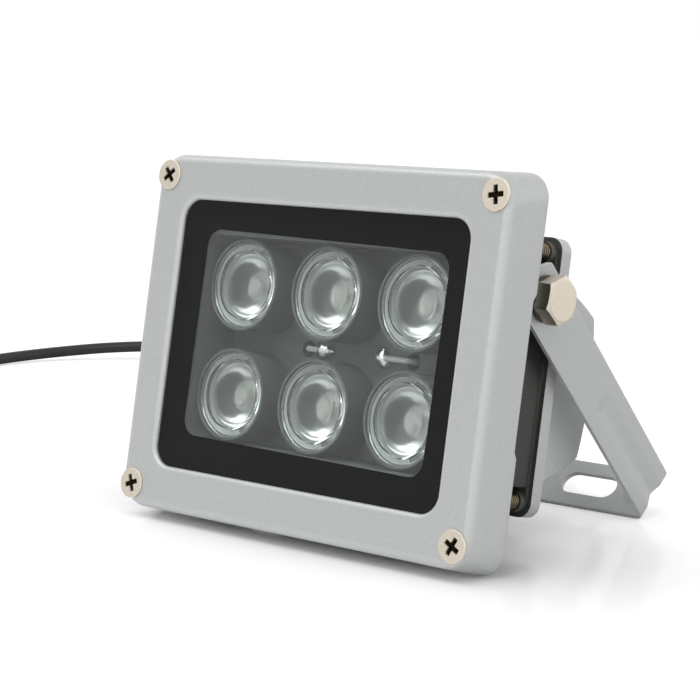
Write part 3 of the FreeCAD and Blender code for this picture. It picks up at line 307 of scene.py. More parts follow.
finish(tree, add(tree, "MixShader", {0: seen.outputs["Is Camera Ray"], 1: both, 2: lifted}))
floor_mesh.materials.append(sheet)

# %% [markdown]
# Bezel, driver housing and bracket wear the same silver-grey paint, sprayed on die-cast
# aluminium and on steel sheet. Fine metal flakes give the satin coat a dense grain and a weak
# glint. Two noises make it: one of the flakes' size, and a wider one for an uneven coat.

# %% Silver paint
FLAKE = 0.34 * MM  # drawn about three times as coarse as the real flakes, or it would not show
COAT_WAVE = 6.0 * MM


def silver_paint():
    """Satin coat with flakes: IOR 1.5, nearly half metallic. The flakes' noise moves the tone,
    the roughness and a very low bump, and the wide noise evens out the tone."""
    made, tree = new_material("silver metallic paint, sprayed satin")
    at = add(tree, "TexCoord").outputs["Object"]
    flakes = add(tree, "TexNoise",
                 {"Vector": at, "Scale": 1 / FLAKE, "Detail": 2.0, "Roughness": 0.6})
    waves = add(tree, "TexNoise", {"Vector": at, "Scale": 1 / COAT_WAVE, "Detail": 3.0})
    grain = add(tree, "ValToRGB", {"Fac": flakes})
    for stop, position, colour in zip(grain.color_ramp.elements, (0.30, 0.70),
                                      ("#B4B7B6", "#CDD0CF")):
        stop.position, stop.color = position, linear(colour)
    tone = add(tree, "Mix", {0: waves, 6: grain, 7: "#C3C6C5"}, data_type="RGBA")
    rough = add(tree, "MapRange", {"Value": flakes, "To Min": 0.34, "To Max": 0.48})
    bump = add(tree, "Bump", {"Height": flakes, "Strength": 0.12, "Distance": 0.05 * MM})
    finish(tree, add(tree, "BsdfPrincipled",
                     {"Base Color": tone.outputs[2], "Metallic": 0.45, "IOR": 1.5,
                      "Roughness": rough, "Normal": bump}))
    return made


paint = silver_paint()


# %% [markdown]
# The lamp body behind the bezel is a casting under a black semi-gloss enamel. The enamel
# flows over the sand-like skin of the casting, so it mirrors softly and in small ripples. Its
# black is lightened to a dark grey, a painted sheen for the soft highlight its flat sides miss.

# %% Black enamel
CASTING_GRAIN = 0.8 * MM
CAST_EDGE = 0.35 * MM


def black_enamel():
    """A black lightened to a dark grey as painted sheen, IOR 1.5, rather glossy, with a low grain and edges
    rounded by Bevel.
    """
    made, tree = new_material("black enamel on cast aluminium")
    at = add(tree, "TexCoord").outputs["Object"]
    skin = add(tree, "TexNoise", {"Vector": at, "Scale": 1 / CASTING_GRAIN, "Detail": 3.0})
    rough = add(tree, "MapRange", {"Value": skin, "To Min": 0.30, "To Max": 0.48})
    edge = add(tree, "Bevel", {"Radius": CAST_EDGE}, samples=4)
    bump = add(tree, "Bump", {"Height": skin, "Strength": 0.25, "Distance": 0.08 * MM,
                              "Normal": edge})
    # the base colour is lightened from black to a dark grey: painted sheen
    finish(tree, add(tree, "BsdfPrincipled", {"Base Color": "#2C2D2A", "IOR": 1.5,
                                              "Roughness": rough, "Normal": bump}))
    return made


enamel = black_enamel()


# %% [markdown]
# Many small pieces need only a plain finish: rubber, moulded plastic, plated steel. One recipe
# serves them: a noise moves the colour towards a second one, and the roughness with it. What
# differs is the real material's values.

# %% A recipe for small pieces


def plain(name, colour, other, grain, rough, metallic=0.0, ior=1.5, bump=0.0, shade_colour=None):
    """Noise of a grain in millimetres mixes two colours and a range of roughness, and raises a
    bump in millimetres. A shade colour darkens points by the mesh's own attribute: painted shade in recesses and
    thread valleys."""
    made, tree = new_material(name)
    at = add(tree, "TexCoord").outputs["Object"]
    noise = add(tree, "TexNoise", {"Vector": at, "Scale": 1 / (grain * MM), "Detail": 3.0})
    tone = add(tree, "Mix", {0: noise, 6: colour, 7: other}, data_type="RGBA")
    if shade_colour:
        recess_shade = add(tree, "Attribute", attribute_name="recess_shade")
        tone = add(tree, "Mix", {0: recess_shade.outputs["Fac"], 6: tone.outputs[2], 7: shade_colour},
                   data_type="RGBA")
    uneven = add(tree, "MapRange", {"Value": noise, "To Min": rough[0], "To Max": rough[1]})
    links = {"Base Color": tone.outputs[2], "Metallic": metallic, "IOR": ior, "Roughness": uneven}
    if bump:
        links["Normal"] = add(tree, "Bump", {"Height": noise, "Strength": 0.5,
                                             "Distance": bump * MM})
    finish(tree, add(tree, "BsdfPrincipled", links))
    return made


# soft rubber swallows light; the seal's black is lightened to a grey as painted sheen, and the same grey is
# painted shade on the driver housing's flange face
rubber = plain("black silicone rubber, moulded", "#0E0E0E", "#1A1A1A", 0.5, (0.60, 0.85))
seal_sheen_and_flange_shade = plain("black sealant, cured", "#52534D", "#3F403B", 1.0, (0.30, 0.45), bump=0.04)
# nylon keeps the mould's fine grain, and the drawn-out jacket a long dull gleam
nylon = plain("black nylon, moulded", "#151616", "#202121", 0.6, (0.40, 0.58), bump=0.02)
jacket = plain("black PVC jacket, extruded", "#121312", "#1B1C1B", 1.5, (0.30, 0.42))
# satin nickel is warm and nearly white; the bolts' sides take a darker, brighter-mirroring nickel, painted shade
# against their lighter top
nickel = plain("nickel plate on stamped steel, satin", "#F2EADC", "#DDD3C2", 0.4,
               (0.48, 0.62), metallic=1.0, bump=0.01, shade_colour="#2A2116")
side_nickel_painted_darker = plain("nickel plate on drawn steel, bright", "#C9C3B6", "#ABA597", 0.4,
                     (0.36, 0.50), metallic=1.0)
# old zinc is brownish, with painted shade in its thread valleys; the spring steel is dark
zinc = plain("zinc plate on steel, dulled", "#A0937C", "#7D705A", 0.5, (0.30, 0.50),
             metallic=1.0, shade_colour="#080604")
spring_steel = plain("spring steel, dark", "#5A5850", "#403E38", 0.5, (0.25, 0.40), metallic=1.0)
# behind the window all is a cool grey: mask, primer and the outsides of the lens cups; primer and cups are a
# little lighter than the board, a painted light that evens out their shade
mask = plain("solder mask on aluminium board, screened", "#4A4F4E", "#505554", 2.0, (0.45, 0.60))
well_primer_painted_light = plain("grey primer on cast aluminium", "#555A59", "#5B605F", 1.2, (0.45, 0.60))
cup_grey_painted_light = plain("grey polycarbonate, moulded", "#4E5352", "#545958", 0.8, (0.40, 0.55))
# the cups' linings and the emitters are what shines white through the lenses
lining = plain("white polycarbonate, moulded", "#E2E5E4", "#ECEEED", 0.8, (0.40, 0.55))
emitter = plain("white ceramic emitter, fired", "#E9E7E0", "#DCD8C8", 1.2, (0.25, 0.40))
# solder set in wrinkles, so it glitters; silicone insulation is milky with a faint sheen
solder = plain("tin solder, bright", "#F2F3F5", "#B4B5B7", 1.1, (0.06, 0.22),
               metallic=1.0, bump=0.5)
wire = plain("white silicone insulation, extruded", "#CBCAC4", "#BBBAB4", 0.8, (0.30, 0.45))
# two finishes inside the driver housing, which no view shows
green = plain("green solder mask on glass fibre", "#0C5A36", "#13663F", 1.5, (0.30, 0.40))
parts_black = plain("black epoxy, moulded", "#191919", "#242424", 0.5, (0.45, 0.60))

# %% [markdown]
# The window is clear toughened glass, and light has to reach the lenses behind it. A glass
# shader bends and mirrors rays, but would block the soft light on its way in, so rays that
# only ask for shadow pass through. The acrylic lenses work the same way.

# %% Glass and acrylic


def clear(name, ior, rough, tint):
    """Clear body that bends and mirrors light by its IOR, and casts no shadow."""
    made, tree = new_material(name)
    body = add(tree, "BsdfPrincipled", {"Base Color": tint, "Transmission Weight": 1.0,
                                        "IOR": ior, "Roughness": rough})
    through = add(tree, "BsdfTransparent", {"Color": "#F4F7F6"})
    seen = add(tree, "LightPath")
    finish(tree, add(tree, "MixShader", {0: seen.outputs["Is Shadow Ray"], 1: body, 2: through}))
    return made


glass = clear("toughened soda-lime glass, polished", 1.52, 0.0, "#F2F6F5")
acrylic = clear("clear acrylic, moulded", 1.49, 0.02, "#FAFCFC")
frosted = clear("clear acrylic, frosted in the mould", 1.49, 0.45, "#FAFCFC")
# the ink is fired to the glass, with no air between to mirror, so its IOR is almost 1
print_black = plain("black ceramic ink, screened and fired", "#0B0C0C", "#101111", 1.0,
                    (0.55, 0.70), ior=1.1)

# %% [markdown]
# A solid that looks right stays and only takes a finish. The loaded mesh brings a plain
# material of its own, so that one goes first.

# %% Finishes of the solids that stay
KEPT = {
    "front_glass": glass, "glass_seal": rubber, "lamp_body": enamel, "led_board": mask,
    "body_seal": seal_sheen_and_flange_shade, "driver_housing": paint, "driver_board": green,
    "driver_parts": parts_black, "gland_body": nylon, "gland_nut": nylon,
    "gland_seal": rubber, "gland_locknut": nylon, "cord_tail": jacket, "plug_barrel": nickel,
    "led_leads": wire, "solder_joints": solder,
    **{f"led_{number}": emitter for number in range(1, 7)},
}
for name, coat in KEPT.items():
    nodes[name].data.materials.clear()
    nodes[name].data.materials.append(coat)
lead.data.materials.append(jacket)
print(len(KEPT), "solids have a finish")

# %% [markdown]
# The lamp body is black outside, but the well that holds the lenses wears a grey primer. The
# driver housing is silver, but the face of its flange that meets the seal lies in the notch's
# shade and takes the seal's dark grey, a painted shade. A second finish goes to chosen faces,
# here to those whose middles lie in a box.

# %% Second finishes inside a box
WELL = ((-38.2, 5.3, -24.4), (38.2, 18.7, 24.4))
FLANGE_SHADE_FACE = ((-41.0, 38.5, -33.0), (41.0, 39.15, 33.0))


def second_finish(piece, material, chosen):
    """Give the material to the chosen faces, and leave the first one on the others."""
    piece.data.materials.append(material)
    piece.data.polygons.foreach_set("material_index", chosen.astype(np.int32))
    print(piece.name, int(chosen.sum()), "of", len(chosen), "faces have a second finish")


def middles(piece):
    return to_drawing([face.center for face in piece.data.polygons])


# the flange face takes the seal's dark grey: painted shade where the notch shades it
for name, second, (low, high) in (("lamp_body", well_primer_painted_light, WELL),
                                  ("driver_housing", seal_sheen_and_flange_shade, FLANGE_SHADE_FACE)):
    at = middles(nodes[name])
    second_finish(nodes[name], second, np.all((at > low) & (at < high), axis=1))

# %% [markdown]
# New pieces are grids of points worked out as whole arrays. One helper makes such a grid a
# mesh: neighbouring points make the faces, points that fall together are merged, so that poles
# and seams close, and all faces are turned outwards.

# %% Grid to mesh
import bmesh


def surface(name, grid, material, body="head", replaces=(), wrap_rows=False,
            sharp=35.0, cap_ends=False):
    """Quads between neighbouring points of a grid (rows, columns, 3) in metres. Columns always
    close on themselves, rows do if asked, and the first and last row may be capped."""
    rows, columns = grid.shape[:2]
    index = np.arange(rows * columns).reshape(rows, columns)
    right = np.roll(index, -1, axis=1)
    if wrap_rows:
        down, down_right = np.roll(index, -1, axis=0), np.roll(right, -1, axis=0)
    else:
        index, right, down, down_right = index[:-1], right[:-1], index[1:], right[1:]
    faces = np.stack([index, right, down_right, down], -1).reshape(-1, 4).tolist()
    if cap_ends:
        faces += [list(range(columns)), list(range((rows - 1) * columns, rows * columns))]
    mesh = bpy.data.meshes.new(name)
    mesh.from_pydata(grid.reshape(-1, 3).tolist(), [], faces)
    tidy = bmesh.new()
    tidy.from_mesh(mesh)
    bmesh.ops.remove_doubles(tidy, verts=tidy.verts, dist=1e-7)
    bmesh.ops.recalc_face_normals(tidy, faces=tidy.faces)
    tidy.to_mesh(mesh)
    tidy.free()
    mesh.shade_smooth()
    mesh.set_sharp_from_angle(angle=math.radians(sharp))
    mesh.materials.append(material)
    piece = link(name, mesh)
    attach(piece, body)
    if replaces:
        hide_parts(*replaces)
    print(name, len(mesh.polygons), "faces")
    return piece


def cut_out(piece, grids, sharp):
    """Subtract closed prisms by the exact Boolean, and keep the result as the piece's mesh."""
    prisms = [surface(f"cutter_{i}", grid, paint, cap_ends=True) for i, grid in enumerate(grids)]
    for prism in prisms:
        cut = piece.modifiers.new("cut", "BOOLEAN")
        cut.operation, cut.object, cut.solver = "DIFFERENCE", prism, "EXACT"
    shown = piece.evaluated_get(bpy.context.evaluated_depsgraph_get())
    made = bpy.data.meshes.new_from_object(shown)
    piece.modifiers.clear()
    piece.data = made
    for prism in prisms:
        bpy.data.objects.remove(prism)
    made.set_sharp_from_angle(angle=math.radians(sharp))


def reach_and_depth(points, place):
    """Distance of drawing points from the Y axis through a place, and their Y."""
    x, y, z = (points - np.array(place)).T
    return np.hypot(x, z), y


def paint_recess_shade(piece, place, rule):
    """Keep how deep in painted shade each point lies, 0 to 1 by the rule of reach and depth, as an attribute."""
    share = rule(*reach_and_depth(to_drawing([v.co for v in piece.data.vertices]), place))
    kept = piece.data.attributes.new("recess_shade", "FLOAT", "POINT")
    kept.data.foreach_set("value", np.clip(share, 0, 1).astype(np.float32))


# %% [markdown]
# The bezel is one frame-shaped casting. Its section changes little on the way round, so it is
# made of nested round-cornered outlines: from the window's edge over the front face, round the
# soft front edge, down the drafted wall, round the rear rim and back inside to the glass. All
# have the same number of points, and together they close to a ring.

# %% Bezel
BEZEL_SIZE = np.array((111.2, 87.5))
BEZEL_DEPTH = 11.6
BEZEL_DRAFT = math.radians(6.3)
DRAFT_SLOPE = math.tan(BEZEL_DRAFT)
BEZEL_CORNERS = (7.4, 6.0)
FRONT_EDGE = 2.1
WINDOW_SIZE = np.array((88.8, 64.1))
WINDOW_CORNER = 5.0
WINDOW_ROUND = (1.5, 0.9)
LIP = 1.2
GLASS_REAR = 4.2
GLASS_POCKET = np.array((94.2, 69.5))
SKIRT_SIZE = np.array((106.0, 82.3))
SKIRT_CORNER = 4.7
BODY_FRONT = 5.2
POCKET_CORNER = 6.2
RING_EASE = 0.3  # a ring this far from a rounding keeps the flat face's shading flat
REAR_RIM = (  # depth and inset of the rear rim's rings, plain and where it is relieved
    ((10.2, 0.0), (10.2, 0.0)), ((11.2, 0.0), (10.55, 0.02)), ((11.45, 0.08), (10.8, 0.18)),
    ((11.6, 0.3), (11.5, 0.82)), ((11.6, 1.1), (11.6, 1.1)))
RELIEF_HALF = (19.0, 17.0)
RELIEF_EASE = 0.7
ARC_COLUMNS = 12
STOPS = 6  # extra columns on each straight
STOP_EASE = 0.5


def outline(size, corner, y):
    """Round-cornered rectangle: quarter circles about the corner centres, joined by straights
    with extra columns near their ends and at the ends of the rim's relief."""
    half = np.asarray(size) / 2 - corner
    sweep = np.linspace(0, math.pi / 2, ARC_COLUMNS + 1)
    points = []
    for quarter, (sx, sz) in enumerate(((1, 1), (-1, 1), (-1, -1), (1, -1))):
        angle = sweep + quarter * math.pi / 2
        arc = np.stack([sx * half[0] + corner * np.cos(angle),
                        sz * half[1] + corner * np.sin(angle)], 1)
        along = quarter % 2
        end, mid, ease = half[along] - STOP_EASE, RELIEF_HALF[along], RELIEF_EASE
        stops = np.array((end, mid + ease, mid - ease, ease - mid, -mid - ease, -end))
        straight = np.zeros((STOPS, 2))
        straight[:, along] = sz * stops
        straight[:, 1 - along] = sx * (half[1 - along] + corner)
        points += [arc, straight]
    flat = np.concatenate(points)
    return np.stack([flat[:, 0], np.full(len(flat), y), flat[:, 1]], 1)


def relief_share():
    """1 in the middle two columns of each straight, where the rear rim is relieved, else 0."""
    share = np.zeros((4, ARC_COLUMNS + 1 + STOPS))
    share[:, ARC_COLUMNS + 3:ARC_COLUMNS + 5] = 1
    return share.reshape(-1, 1)


def wall(y, inset):
    """Outline on the drafted side wall at depth y, moved inwards by inset."""
    front = BEZEL_SIZE - 2 * BEZEL_DEPTH * DRAFT_SLOPE
    share = y / BEZEL_DEPTH
    size = front + (BEZEL_SIZE - front) * share - 2 * inset
    corner = BEZEL_CORNERS[0] + (BEZEL_CORNERS[1] - BEZEL_CORNERS[0]) * share - inset
    return outline(size, corner, y)


def bezel_rings():
    """Outlines in order round the section, from the lip's rear edge and back to it."""
    rings = [outline(WINDOW_SIZE, WINDOW_CORNER, y) for y in (LIP, LIP - 0.1, WINDOW_ROUND[1])]
    for t in np.linspace(0, math.pi / 2, 8)[1:]:
        out = WINDOW_ROUND[0] * (1 - math.cos(t))
        rings.append(outline(WINDOW_SIZE + 2 * out, WINDOW_CORNER + out,
                             WINDOW_ROUND[1] * (1 - math.sin(t))))
    out = WINDOW_ROUND[0] + RING_EASE
    rings.append(outline(WINDOW_SIZE + 2 * out, WINDOW_CORNER + out, 0))
    # fillet between the front face and the drafted wall, tangent to both
    middle = FRONT_EDGE / math.cos(BEZEL_DRAFT) - FRONT_EDGE * DRAFT_SLOPE
    rings.append(wall(0, middle + RING_EASE))
    for t in np.linspace(-math.pi / 2, -BEZEL_DRAFT, 10):
        y = FRONT_EDGE * (1 + math.sin(t))
        rings.append(wall(y, middle + y * DRAFT_SLOPE - FRONT_EDGE * math.cos(t)))
    rings.append(wall(FRONT_EDGE + RING_EASE, 0))
    share = relief_share()
    for full, relieved in REAR_RIM:
        rings.append(wall(*full) * (1 - share) + wall(*relieved) * share)
    rings.append(outline(SKIRT_SIZE + 0.4, SKIRT_CORNER + 0.2, BEZEL_DEPTH))
    rings += [outline(SKIRT_SIZE, SKIRT_CORNER, y) for y in (BEZEL_DEPTH - 0.2, BODY_FRONT)]
    rings += [outline(GLASS_POCKET, POCKET_CORNER, y) for y in (BODY_FRONT, LIP)]
    return np.stack(rings)


bezel = surface("bezel", to_frame(bezel_rings()), paint, replaces=["front_bezel"],
                wrap_rows=True, sharp=50)

# %% [markdown]
# The glass carries a black border, printed and fired on its rear face, slightly askew. It
# hides the seal and the body's edge and leaves a clear window round the lenses. The grey
# primer of the well behind it runs over the well's rim.

# %% Printed border
CLEAR_SIZE = np.array((75.1, 49.3))
CLEAR_CORNER = 4.0
CLEAR_SHIFT = np.array((-0.15, 0.0, 0.3))
CLEAR_TURN = math.radians(0.8)
PRINT_LAYER = (0.01, 0.04)  # how far before the glass's rear face the print starts and ends
PRINT_MARGIN = 1.0
PRINT_CORNER = 5.8
RIM_LAYER = (0.01, 0.05)  # the same before the body's front face
WELL_SIZE = np.array((76.4, 48.8))
WELL_CORNER = 4.0
RIM_SIZE = np.array((80.0, 53.0))
RIM_CORNER = 4.5
askew = np.array(((math.cos(CLEAR_TURN), 0, -math.sin(CLEAR_TURN)), (0, 1, 0),
                  (math.sin(CLEAR_TURN), 0, math.cos(CLEAR_TURN))))
inner = [outline(CLEAR_SIZE, CLEAR_CORNER, GLASS_REAR - t) @ askew + CLEAR_SHIFT
         for t in PRINT_LAYER]
outer = [outline(GLASS_POCKET - PRINT_MARGIN, PRINT_CORNER, GLASS_REAR - t)
         for t in PRINT_LAYER[::-1]]
surface("printed_border", to_frame(np.stack([*inner, *outer])), print_black,
        wrap_rows=True)
inner = [outline(WELL_SIZE, WELL_CORNER, BODY_FRONT - t) for t in RIM_LAYER]
outer = [outline(RIM_SIZE, RIM_CORNER, BODY_FRONT - t) for t in RIM_LAYER[::-1]]
surface("primed_rim", to_frame(np.stack([*inner, *outer])), well_primer_painted_light,
        wrap_rows=True)

# %% [markdown]
# Lenses, cups, screws and the plug are turned: a profile of radius and depth is carried round
# an axis. Its corners are eased first, with a few points close together, so that edges catch
# the light and flat parts still look flat.

# %% Turned surfaces


def all_round(columns):
    """Angles of a full turn in equal steps."""
    return np.arange(columns) * 2 * math.pi / columns


def about_axis(radius, depth, angle):
    """Points about the Y axis: x = r cos a, y = depth, z = r sin a."""
    return np.stack([radius * np.cos(angle), depth + 0 * radius * angle,
                     radius * np.sin(angle)], -1)


def turned(profile, columns=64):
    """Carry (radius, y) points round the Y axis."""
    radius, y = np.asarray(profile, float).T[:, :, None]
    return about_axis(radius, y, all_round(columns))


def eased(points, radius, steps=4):
    """Polyline with each inner corner replaced by a quadratic curve that starts a radius away."""
    points = [np.asarray(p, float) for p in points]
    made = [points[0]]
    for before, corner, after in zip(points, points[1:], points[2:]):
        back, on = before - corner, after - corner
        back = corner + back * min(0.45, radius / np.linalg.norm(back))
        on = corner + on * min(0.45, radius / np.linalg.norm(on))
        for t in np.linspace(0, 1, steps + 1):
            made.append((1 - t) ** 2 * back + 2 * t * (1 - t) * corner + t ** 2 * on)
    return np.array([*made, points[-1]])


# %% [markdown]
# Behind the glass stand six moulded lenses. Each is a clear bowl whose wall turns the light of
# the emitter in its foot forward by total reflection. Its front has a flat rim and, a step
# lower, a frosted face that spreads the beam. Real shapes and a real IOR are all that the
# renderer needs to find the bright lobes and dark bands of such a bowl. The cup round it is
# grey outside and white inside, which fills the bowl with soft light.

# %% Lenses and their cups
LED_PITCH = (26.8, 26.06)
LED_PLACES = [(LED_PITCH[0] * across, 0, LED_PITCH[1] * up)
              for up in (0.5, -0.5) for across in (-1, 0, 1)]
LENS_FRONT = 7.2
LENS_RADIUS = 10.1
LENS_RIM = 1.4
FACE_RADIUS = 7.65
FACE_DEPTH = 2.0
BOWL_TOP = 8.55
FOOT_RADIUS = 4.4
FOOT = 15.2
SOCKET_RADIUS = 3.0
SOCKET_TOP = 12.6
CENTRE_BULGE = 0.9
BOWL_BULGE = 0.75
FACE_SLOPE = 0.5  # of the step from the rim down to the face
FROSTED_TO = 9.5  # depth that the frosted face lies within
CUP_RADII = (10.9, 10.25, 9.5, 4.4)  # outside, mouth, wall below the shelf, hole round the LED
CUP_DEPTHS = (6.9, 8.6, 16.0, 17.0)  # front, shelf, floor's top, foot on the board
LINED = (9.0, 9.6)  # radii that the cup's inner wall lies within
LINED_TO = 16.2


def lens_profile():
    """(radius, y) from the middle of the frosted face round the rim and the bowl to the axis.
    The bowl's wall bows outwards by a sine of its length, and the socket's top is a cap."""
    face = LENS_FRONT + FACE_DEPTH
    front = [(0, face), (FACE_RADIUS * 0.5, face), (FACE_RADIUS, face)]
    top, foot = np.array((BOWL_TOP, LENS_FRONT + LENS_RIM)), np.array((FOOT_RADIUS, FOOT))
    rim = eased([(FACE_RADIUS, face), (FACE_RADIUS + FACE_SLOPE, LENS_FRONT),
                 (LENS_RADIUS, LENS_FRONT), (LENS_RADIUS, top[1]), top], 0.16)
    t = np.linspace(0, 1, 24)[1:]
    out = np.array((foot[1] - top[1], top[0] - foot[0]))
    out = out / np.linalg.norm(out)
    bowl = top + (foot - top) * t[:, None] + out * (BOWL_BULGE * np.sin(math.pi * t))[:, None]
    socket = eased([foot, (SOCKET_RADIUS, FOOT), (SOCKET_RADIUS, SOCKET_TOP)], 0.12)
    cap_radius = np.linspace(SOCKET_RADIUS, 0, 10)[1:]
    cap = SOCKET_TOP + CENTRE_BULGE * (1 - (cap_radius / SOCKET_RADIUS) ** 2)
    return np.concatenate([front, rim[1:], bowl, socket[1:], np.stack([cap_radius, cap], 1)])


def cup_profile():
    """Closed (radius, y) section of the cup that carries the lens by its rim."""
    outer, mouth, shelf, hole = CUP_RADII
    front, rim, floor_at, foot = CUP_DEPTHS
    lip = outer - 0.3
    return eased([(lip, front), (outer, front), (outer, foot), (hole, foot), (hole, floor_at),
                  (shelf, floor_at), (shelf, rim), (mouth, rim), (mouth, front), (lip, front)],
                 0.12)


for number, place in enumerate(LED_PLACES, 1):
    lens = surface(f"clear_lens_{number}", to_frame(turned(lens_profile(), 72) + place), acrylic,
                   replaces=[f"lens_{number}"], sharp=40)
    reach, y = reach_and_depth(middles(lens), place)
    second_finish(lens, frosted, (reach < FACE_RADIUS) & (y < FROSTED_TO))
    cup = surface(f"lens_cup_{number}", to_frame(turned(cup_profile()) + place), cup_grey_painted_light,
                  replaces=[f"lens_holder_{number}"], wrap_rows=True)
    reach, y = reach_and_depth(middles(cup), place)
    second_finish(cup, lining, (reach > LINED[0]) & (reach < LINED[1]) & (y < LINED_TO))

# %% [markdown]
# Two wires are soldered by hand to the board, between the rows of lenses. A blob of solder is
# a dome whose foot ran out unevenly, so its radius is a circle's plus two waves.

# %% Solder joints
BOARD_FRONT = 17.0
SOLDER = ((-7.0, 2.5, 0.3), (11.0, 2.5, 2.0))  # X, radius and turn of each
SOLDER_HIGH = 1.9


def solder_grid(radius, turn, columns=48):
    """Rows from the top to the foot: r = R(a) sin t and h = H cos t, each to a power near 1,
    with R(a) = R (1 + two cosines)."""
    angle = all_round(columns)
    foot = radius * (1 + 0.16 * np.cos(2 * angle + turn) + 0.08 * np.cos(3 * angle - 2 * turn))
    t = np.linspace(0, math.pi / 2, 14)[:, None]
    r = np.concatenate([foot * np.sin(t) ** 0.9, 0 * foot[None]])
    high = np.concatenate([SOLDER_HIGH * np.cos(t) ** 1.3 + 0 * foot, 0 * foot[None]])
    return about_axis(r, BOARD_FRONT - high, angle)


for number, (x, radius, turn) in enumerate(SOLDER, 1):
    surface(f"solder_blob_{number}", to_frame(solder_grid(radius, turn) + (x, 0, 0)), solder,
            replaces=["solder_joints"], sharp=60)

# %% [markdown]
# Four M4 countersunk screws with a cross recess hold the bezel. The recess is a depth that
# depends on the distance to its two arms, with steep walls and a floor that rises towards the
# arms' ends, as a driver's tip leaves it.

# %% Bezel screws
SCREW_X = 50.44
SCREW_Z = 37.47
HEAD_RADIUS = 3.65
HEAD_PROUD = 0.5
CONE_DEEP = 1.65
SHANK_RADIUS = 2.0
SCREW_TIP = 11.5
SEAT_PLAY = 0.03
SHANK_PLAY = 0.2
RECESS_ARM = 2.15
RECESS_HALF = 0.52
RECESS_WALL = (0.08, 0.10)  # how far inside and outside the half width an arm's wall runs
RECESS_HUB = 0.18  # how much wider the arms are in the middle
RECESS_DEEP = 1.5
TOP_RINGS = 40
SCREW_TURNS = (38.0, 8.0, 20.0, 62.0)
RECESS_SHADE_TOP = 0.05  # depth in a recess where the painted shade starts, and how fast it darkens
RECESS_SHADE_FADE = 0.35


def recess_depth(u, v):
    """Depth of a cross recess at (u, v): each arm is a trough with steep walls, and the depth
    falls by half from the middle to the arms' ends."""
    reach = np.hypot(u, v)
    arms = []
    for along, across in ((u, v), (v, u)):
        half = RECESS_HALF + RECESS_HUB * step(-reach, -1.0, 0.0)
        side = 1 - step(np.abs(across), half - RECESS_WALL[0], half + RECESS_WALL[1])
        end = 1 - step(np.abs(along), RECESS_ARM - 0.25, RECESS_ARM)
        arms.append(side * end)
    return RECESS_DEEP * np.maximum(*arms) * (1 - 0.5 * np.minimum(reach / RECESS_ARM, 1))


def screw_grid(rim, turn, columns=96):
    """A head's flat top as rings from the axis outwards, lowered by the recess, and then the
    rim's profile of (radius, y), which starts at the top."""
    rings = np.linspace(0, rim[0][0], TOP_RINGS)
    top = np.stack([rings, np.full(TOP_RINGS, rim[0][1])], 1)
    grid = turned(np.concatenate([top, rim[1:]]), columns)
    c, s = math.cos(turn), math.sin(turn)
    x, _, z = np.moveaxis(grid[:TOP_RINGS], -1, 0)
    grid[:TOP_RINGS, :, 1] += recess_depth(x * c + z * s, z * c - x * s)
    return grid


def corner_places(x, z):
    """Places near the four corners, from the top left one to the bottom right one."""
    return [(sx * x, 0, sz * z) for sz in (1, -1) for sx in (-1, 1)]


screw_rim = eased([(HEAD_RADIUS - 0.5, -HEAD_PROUD), (HEAD_RADIUS, -HEAD_PROUD),
                   (HEAD_RADIUS, 0.05), (SHANK_RADIUS, CONE_DEEP), (SHANK_RADIUS, SCREW_TIP),
                   (0, SCREW_TIP)], 0.22)
corners = corner_places(SCREW_X, SCREW_Z)
wide, narrow = HEAD_RADIUS + SEAT_PLAY, SHANK_RADIUS + SHANK_PLAY
seat_line = [(wide, -1), (wide, 0.04), (narrow, CONE_DEEP + 0.1), (narrow, BODY_FRONT + 1)]
cut_out(bezel, [to_frame(turned(seat_line, 48) + place) for place in corners], sharp=50)
for number, (place, turn) in enumerate(zip(corners, SCREW_TURNS), 1):
    screw = surface(f"countersunk_screw_{number}",
                    to_frame(screw_grid(screw_rim, math.radians(turn)) + place), nickel,
                    replaces=[f"bezel_screw_{number}"])
    # the cross recess darkens with its depth: painted shade
    paint_recess_shade(screw, place, lambda reach, y: np.where(
        reach < RECESS_ARM + 0.1, (y + HEAD_PROUD - RECESS_SHADE_TOP) / RECESS_SHADE_FADE, 0))

# %% [markdown]
# Four longer M4 screws hold the driver housing from the front of the lamp body. Their threads
# show in its notches, so those are real: the radius falls and rises along each turn.

# %% Housing screws
HOUSING_SCREW_X = 36.5
HOUSING_SCREW_Z = 28.5
PITCH = 0.7
THREAD_DEEP = 0.36
HEAD_FRONT = 6.6
HEAD_HIGH = 2.4
THREAD_SPAN = (19.0, 41.5)
THREAD_TIP = 42.0
PAN_RADIUS = 3.3


def thread_grid(columns=24):
    """r = R - deep (1 - |2 f - 1|), with f the fraction of y / pitch less the turn's share."""
    y = np.arange(*THREAD_SPAN, PITCH / 8)
    angle = np.arange(columns) / columns
    phase = np.mod(y[:, None] / PITCH - angle, 1)
    radius = SHANK_RADIUS - THREAD_DEEP * (1 - np.abs(2 * phase - 1))
    return about_axis(radius, y[:, None], angle * 2 * math.pi)


